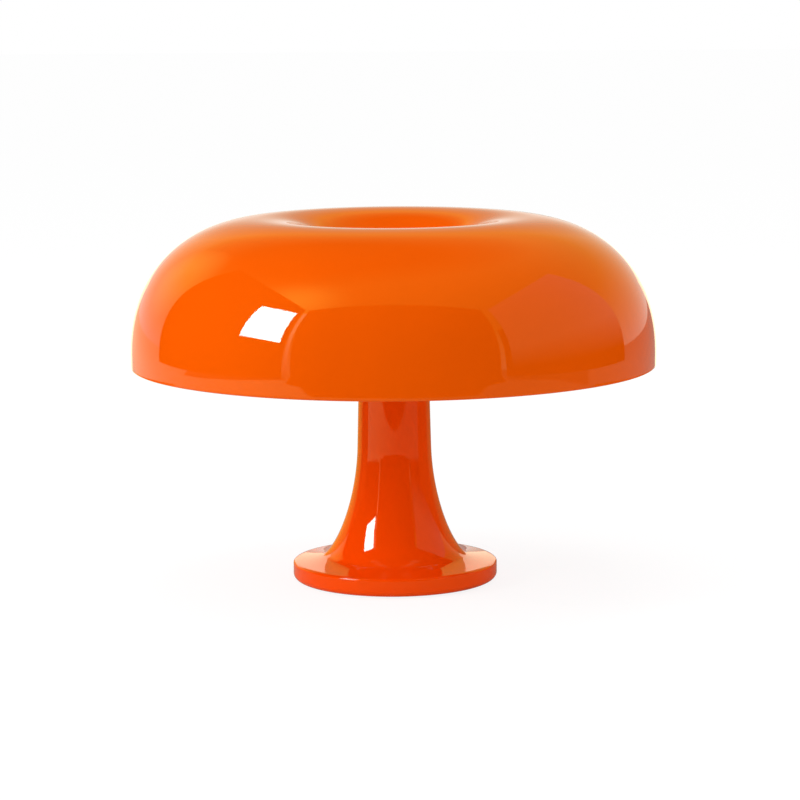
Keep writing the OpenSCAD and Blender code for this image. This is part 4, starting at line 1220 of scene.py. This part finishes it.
class LAMP_OT_leads(bpy.types.Operator):
    """Sweep the leads along their routes and make the sleeve and the grommet"""
    bl_idname = "lamp.leads"
    bl_label = "Leads"

    radius: length("Radius", "Radius of a lead", 0.9)
    spread: length("Spread", "Distance of the leads from a lampholder's axis", 1.75)

    def execute(self, context):
        for side, name, rgb in ((-1, "brown", (0.16, 0.055, 0.02)), (1, "blue", (0.03, 0.09, 0.3))):
            material = material_named(name.title() + " insulation", silicone_lead, rgb)
            supply = self.sweep("supply_lead_" + name, [self.supply_route(side)], material)
            hand_over(supply, "stand", "lead_insulation", "supply_leads")
            routes = [self.jumper_route(i, side) for i in range(BULBS - 1)]
            jumpers = self.sweep("jumper_leads_" + name, routes, material)
            hand_over(jumpers, "stand", "lead_insulation", "holder_jumpers")
        make_ring("lead_sleeve", "braided_sleeve", "stand", "sleeve_glass_silicone",
                  material_named("Braided sleeve", woven_sleeve), 0.3 * MM, segments=48)
        self.grommet()
        return {"FINISHED"}

    def sweep(self, name, routes, material):
        points, edges = [], []
        for route in routes:
            start = len(points)
            points += smooth_route(route)
            edges += [(i, i + 1) for i in range(start, len(points) - 1)]
        piece = mesh_object(name, points, edges)
        use_tree(piece, "Swept Lead", swept_tree, material, radius=self.radius, sides=16)
        return finished(piece, material)

    def supply_route(self, side):
        """From the connector block up the sleeve to the first lampholder."""
        wire_y, pole_x, pole_z, block_front = 13.5 * MM, side * 4 * MM, 11 * MM, 19 * MM
        roof, sleeve_top = 17 * MM, 137 * MM
        apart = side * (self.radius + 0.15 * MM)
        out = [(pole_x, block_front + ahead * MM, pole_z) for ahead in (6.5, 1.5, -0.5)]
        out.append((side * 2.6 * MM, wire_y + 0.8 * MM, pole_z + 2.6 * MM))
        sleeve = [(apart, wire_y, z) for z in (roof + 1 * MM, roof + 4 * MM, (roof + sleeve_top) / 3,
                                               (roof + sleeve_top) * 2 / 3, sleeve_top - 1 * MM)]
        turn = [round_point(wire_y - 0.2 * MM + side * 0.9 * MM, 84 - side * 6, sleeve_top + 2.3 * MM),
                round_point(12.6 * MM + side * 1.3 * MM, 62 + side * 6, HOLDER_HEIGHT - 4 * MM)]
        return out + sleeve + turn + self.way_in(0, 1, side)

    def jumper_route(self, i, side):
        """From one lampholder to the next, round the spacer tube."""
        quarter = 360 / BULBS
        start = math.degrees(FIRST_AZIMUTH) - quarter * i
        near, bend = 12.2 * MM - side * 1.3 * MM, 17 - side * 6
        rise = 2 * self.spread * math.cos(HOLDER_TILT)
        top = HOLDER_HEIGHT + rise / 2 - 6 * MM * math.sin(HOLDER_TILT)
        turn = [round_point(near + 0.4 * MM, start - bend, top),
                round_point(near, start - quarter / 2, top - rise / 2),
                round_point(near + 0.4 * MM, start - quarter + bend, top - rise)]
        return self.way_in(-i, -1, side)[::-1] + turn + self.way_in(-i - 1, 1, -side)

    def way_in(self, number_of_holder, down, side):
        """Through a lampholder's nipple, above or below its axis and on one side of it."""
        return [holder_point(number_of_holder, down * self.spread, side * self.spread, out * MM)
                for out in (-5.6, -4.4, -1.5, 4, 10)]

    def grommet(self):
        centre = axis_of("deck_grommet")
        bore, lip = reach_of("deck_grommet", centre)
        bottom, top = heights_of("deck_grommet")
        neck, lip_height = lip - 0.6 * MM, 1.2 * MM
        outline = filleted([
            (bore, bottom, 0.3 * MM), (lip, bottom, 0.5 * MM), (lip, bottom + lip_height, 0.2 * MM),
            (neck, bottom + lip_height, 0), (neck, top - lip_height, 0), (lip, top - lip_height, 0.2 * MM),
            (lip, top, 0.5 * MM), (bore, top, 0.3 * MM)])
        piece = centred(turned("grommet_ring", outline, rubber(), segments=48), centre)
        hand_over(piece, "stand", "soft_black", "deck_grommet")


def round_point(radius, degrees, height):
    """A point given by its distance from the lamp's axis, its azimuth and its height."""
    angle = math.radians(degrees)
    return (radius * math.cos(angle), radius * math.sin(angle), height)


def holder_point(number_of_holder, down, side, out):
    """A point given in a lampholder's own frame, in the lamp's frame."""
    azimuth = FIRST_AZIMUTH + math.tau / BULBS * number_of_holder
    r = HOLDER_REACH + out * math.cos(HOLDER_TILT) + down * math.sin(HOLDER_TILT)
    z = HOLDER_HEIGHT + out * math.sin(HOLDER_TILT) - down * math.cos(HOLDER_TILT)
    along, across = math.cos(azimuth), math.sin(azimuth)
    return (r * along - side * across, r * across + side * along, z)


def smooth_route(points, steps=8):
    """A smooth curve through the given points, which keeps straight end stretches straight."""
    points = [Vector(p) for p in points]
    last = len(points) - 1
    path = []
    for i in range(last):
        a, b, c, d = points[max(i - 1, 0)], points[i], points[i + 1], points[min(i + 2, last)]
        for k in range(steps):
            t = k / steps
            path.append(b + t * (c - a) / 2 + t * t * (a - 2.5 * b + 2 * c - d / 2)
                        + t * t * t * (-a + 3 * b - 3 * c + d) / 2)
    return path + [points[last]]


# The stage

class LAMP_OT_stage(bpy.types.Operator):
    """Set the floor, the light, the reflected studio and the camera"""
    bl_idname = "lamp.stage"
    bl_label = "Stage"

    def execute(self, context):
        settings = context.scene.lamp_stage
        self.world(settings)
        self.floor()
        self.studio(settings)
        area_lamp("key", (-1.45, -0.61, 1.0), side=0.7, power=settings.key_power)
        area_lamp("fill", (1.45, -0.61, 1.0), side=0.9, power=settings.fill_power)
        area_lamp("top", (0.0, 0.35, 1.8), side=0.9, power=settings.top_power)
        self.camera()
        context.scene.view_settings.view_transform = "Standard"
        return {"FINISHED"}

    def world(self, settings):
        """A plain light for the object, white for the camera, and the studio's greys for a gloss."""
        world = bpy.data.worlds.new("Studio")
        bpy.context.scene.world = world
        tree = cleared_tree(world)
        way = add(tree, "ShaderNodeTexCoord").outputs["Generated"]
        height = part_of(tree, way, "Z")
        greys = ramp(tree, height, low=0.0, high=0.5, start=0.97, end=0.6)
        for azimuth, elevation, reach, core, grey in (
                (180, 17, 14, 5, 0.5), (-152, 62, 38, 18, 0.08), (-136, 24, 18, 6, 1.25)):
            greys = choose(patch(tree, way, azimuth, elevation, reach, core), greys, grey)
        glow = patch(tree, way, azimuth=-59, elevation=50, reach=25, core=0).do("POWER", 3.0)
        glossy, seen = rays(tree)
        glow_level = 2.2
        level = choose(glossy, settings.ambient, glow * glow_level + greys)
        warmth = ramp(tree, height, low=0.02, high=0.45, start=0.15) * glossy
        hue = blend_colours(tree, warmth, WHITE, (1.0, 0.95, 0.2))
        light = add(tree, "ShaderNodeBackground", {"Color": hue, "Strength": choose(seen, level, 1.0)})
        add(tree, "ShaderNodeOutputWorld", {"Surface": light.outputs[0]})

    def floor(self):
        """A white table, whose shadow stays faint where it is seen; in a gloss it shows painted light, warm,
        brighter on the left and falling off to the right.
        """
        corners = [(-FLOOR_HALF, -FLOOR_HALF, 0), (FLOOR_HALF, -FLOOR_HALF, 0), (FLOOR_HALF, FLOOR_HALF, 0),
                   (-FLOOR_HALF, FLOOR_HALF, 0)]
        material = bpy.data.materials.new("White table")
        tree = cleared_tree(material)
        glossy, seen = rays(tree)
        seen_share, gloss_share, seen_level = 0.8, 0.65, 1.08
        share = (seen * seen_share).do("MAXIMUM", glossy * gloss_share)
        across = part_of(tree, add(tree, "ShaderNodeTexCoord").outputs["Object"], "X")
        # Painted light for a gloss: the table brighter on the left, where the key lamp is, and darker to the
        # right
        gloss_painted_light = ramp(tree, across, low=-0.8, high=0.1, start=1.1, end=0.15)
        tint = blend_colours(tree, seen, (1.0, 0.88, 0.5), WHITE)
        level = choose(seen, gloss_painted_light, seen_level)
        lift = add(tree, "ShaderNodeEmission", {"Color": tint, "Strength": level})
        diffuse = add(tree, "ShaderNodeBsdfDiffuse", {"Color": (0.86, 0.86, 0.86, 1)})
        both = add(tree, "ShaderNodeMixShader", {0: share, 1: diffuse.outputs[0], 2: lift.outputs[0]})
        add(tree, "ShaderNodeOutputMaterial", {"Surface": both.outputs[0]})
        floor = mesh_object("floor", corners, faces=[(0, 1, 2, 3)], material=material)

    def studio(self, settings):
        """What only a gloss shows: dark walls, the dark before the table, the light gaps, the softbox, and
        glowing sheets that paint reflections onto the stem and flange.
        """
        dark = glow_material("Dark wall", 0.0)
        left, right, front, table_front = -1.5, 1.5, -2.0, -0.89
        panel("left_wall", [(left, -1.42, 0), (left, 0.75, 0), (left, 0.92, 2.1), (left, -1.42, 2.1)], dark)
        panel("front_wall", [(-1.87, front, 0), (1.99, front, 0), (2.1, front, 2.85), (-2.0, front, 2.85)],
              dark)
        shady = glow_material("Shady floor", 0.12)
        for name, corners, material in (
                ("before_table", [(-0.85, table_front), (0.9, table_front), (1.99, front), (-1.87, front)],
                 dark),
                ("left_of_table", [(-1.15, -1.22), (-1.15, 0.12), (left, 0.12), (left, -1.42)], shady),
                ("right_of_table", [(1.05, -1.05), (right, -1.28), (right, -0.08), (1.05, -0.08)], shady)):
            panel(name, [(x, y, JUST_OVER_FLOOR) for x, y in corners], material)
        # Painted reflections: orange, yellow and amber sheets and a back glow that only a gloss shows, so
        # that the stem and flange reflect them
        orange = glow_material("Orange reflection glow", 0.8, (0.95, 0.16, 0.03))
        yellow = glow_material("Yellow reflection glow", 0.85, (1.0, 0.75, 0.12))
        amber = glow_material("Amber reflection glow", 0.5, (0.9, 0.55, 0.15))
        behind = glow_material("Back glow", 1.9, (1.0, 0.85, 0.6))
        grey = glow_material("Grey wall", 0.5, heights=(0.15, 0.55))
        gap = glow_material("Light gap", 2.8, heights=(-0.2, 1.2))
        glow_sheet_top = 0.095
        for name, start, end, low, high, material in (
                ("left_flag", (-0.36, -0.01), (-0.26, 0.14), 0, glow_sheet_top, orange),
                ("left_flag_end", (-0.26, 0.14), (-0.13, 0.34), 0, glow_sheet_top, yellow),
                ("right_flag", (0.36, -0.08), (0.24, 0.14), 0, glow_sheet_top, orange),
                ("right_flag_end", (0.24, 0.14), (0.13, 0.34), 0, glow_sheet_top, amber),
                ("back_glow", (-0.3, 0.42), (0.3, 0.42), 0.05, 0.2, behind),
                ("right_post", (right, -1.41), (right, -1.28), 0, 1.1, dark),
                ("right_wall", (right, -1.28), (right, 0.65), 0, 1.9, grey),
                ("left_gap", (-1.66, -1.60), (-1.60, -1.63), 0, 2.1, gap)):
            panel(name, [(*start, low), (*end, low), (*end, high), (*start, high)], material)
        if settings.show_softbox:
            corners = [(-1.45, -0.56, 0.63), (-1.45, -0.53, 1.41), (-1.45, -1.25, 1.74), (-1.45, -1.26, 0.72)]
            panel("softbox", corners, glow_material("Softbox", settings.softbox, (0.4, 0.47, 1.0)))

    def camera(self):
        data = bpy.data.cameras.new("camera")
        data.lens = CAMERA_LENS
        data.sensor_width = 36.0
        data.sensor_fit = "HORIZONTAL"
        camera = new_object("camera", data)
        yaw = Matrix.Rotation(CAMERA_YAW, 4, "Z")
        pitch = Matrix.Rotation(math.pi / 2 - CAMERA_PITCH, 4, "X")
        roll = Matrix.Rotation(CAMERA_ROLL, 4, "Z")
        camera.matrix_world = Matrix.Translation(CAMERA_PLACE) @ yaw @ pitch @ roll
        bpy.context.scene.camera = camera


def cleared_tree(owner):
    """The node tree of a new world or material, emptied."""
    owner.use_nodes = True
    owner.node_tree.nodes.clear()
    return owner.node_tree


def rays(tree):
    """Two numbers: 1 for rays from a gloss, and 1 for what the camera sees, directly or through glass."""
    path = add(tree, "ShaderNodeLightPath").outputs
    seen = calc(tree, "MAXIMUM", path["Is Camera Ray"], path["Is Transmission Ray"])
    return Number(tree, path["Is Glossy Ray"]), seen


def glow_material(name, strength, rgb=WHITE, heights=None):
    """A glow, black at a strength of 0; between two heights it rises to its full strength."""
    material = bpy.data.materials.new(name)
    tree = cleared_tree(material)
    if heights:
        height = part_of(tree, add(tree, "ShaderNodeTexCoord").outputs["Object"], "Z")
        strength = ramp(tree, height, *heights, 0.0, strength)
    glow = add(tree, "ShaderNodeEmission", {"Color": (*rgb, 1), "Strength": strength})
    add(tree, "ShaderNodeOutputMaterial", {"Surface": glow.outputs[0]})
    return material


def patch(tree, way, azimuth, elevation, reach, core):
    """1 in directions near the given one and 0 far from it; azimuth 0 is towards the camera, in degrees."""
    azimuth, elevation = math.radians(azimuth), math.radians(elevation)
    middle = Vector((math.sin(azimuth) * math.cos(elevation), -math.cos(azimuth) * math.cos(elevation),
                     math.sin(elevation)))
    near = add(tree, "ShaderNodeVectorMath", {0: way, 1: middle}, operation="DOT_PRODUCT").outputs["Value"]
    return ramp(tree, near, math.cos(math.radians(reach)), math.cos(math.radians(core)))


def area_lamp(name, place_at, side, power):
    """A square lamp that points at the object and that a gloss doesn't show."""
    data = bpy.data.lights.new(name, "AREA")
    data.shape = "SQUARE"
    data.size = side
    data.energy = power
    lamp = new_object(name, data)
    lamp.location = place_at
    aim = LAMPS_AIM - lamp.location
    lamp.rotation_euler = aim.to_track_quat("-Z", "Y").to_euler()
    lamp.visible_glossy = False
    lamp.visible_camera = False


def panel(name, corners, material):
    """A flat panel of the studio, which only a gloss shows."""
    piece = mesh_object(name, corners, faces=[tuple(range(len(corners)))], material=material)
    piece.visible_camera = False
    piece.visible_diffuse = False
    piece.visible_transmission = False
    piece.visible_volume_scatter = False
    piece.visible_shadow = False


# The add-on's panel and its registration

class LAMP_PT_panel(bpy.types.Panel):
    """The lamp's sizes, colours and operators"""
    bl_idname = "LAMP_PT_panel"
    bl_label = "Mushroom Table Lamp"
    bl_space_type = "VIEW_3D"
    bl_region_type = "UI"
    bl_category = "Lamp"

    def draw(self, context):
        layout = self.layout
        for name, (heading, group) in GROUPS.items():
            box = layout.box()
            box.label(text=heading)
            values = getattr(context.scene, name)
            for size in group.__annotations__:
                box.prop(values, size)
        for operator in OPERATORS:
            layout.operator(operator.bl_idname)


GROUPS = {"lamp_shade": ("Shade", LampShadeSizes), "lamp_stem": ("Stem and Base", LampStemSizes),
          "lamp_colours": ("Colours", LampColours), "lamp_stage": ("Stage", LampStageSettings)}
OPERATORS = (LAMP_OT_shade, LAMP_OT_knob, LAMP_OT_stem, LAMP_OT_base_fittings, LAMP_OT_rod,
             LAMP_OT_lampholders, LAMP_OT_bulbs, LAMP_OT_leads, LAMP_OT_stage)


def register():
    for name, (heading, group) in GROUPS.items():
        bpy.utils.register_class(group)
        setattr(bpy.types.Scene, name, PointerProperty(type=group))
    for operator in (*OPERATORS, LAMP_PT_panel):
        bpy.utils.register_class(operator)


def unregister():
    for operator in (LAMP_PT_panel, *reversed(OPERATORS)):
        bpy.utils.unregister_class(operator)
    for name, (heading, group) in reversed(GROUPS.items()):
        delattr(bpy.types.Scene, name)
        bpy.utils.unregister_class(group)


def main():
    register()
    bpy.ops.lamp.shade()
    bpy.ops.lamp.knob()
    bpy.ops.lamp.stem()
    bpy.ops.lamp.base_fittings()
    bpy.ops.lamp.rod()
    bpy.ops.lamp.lampholders()
    bpy.ops.lamp.bulbs()
    bpy.ops.lamp.leads()
    bpy.ops.lamp.stage()


if __name__ == "__main__":
    main()
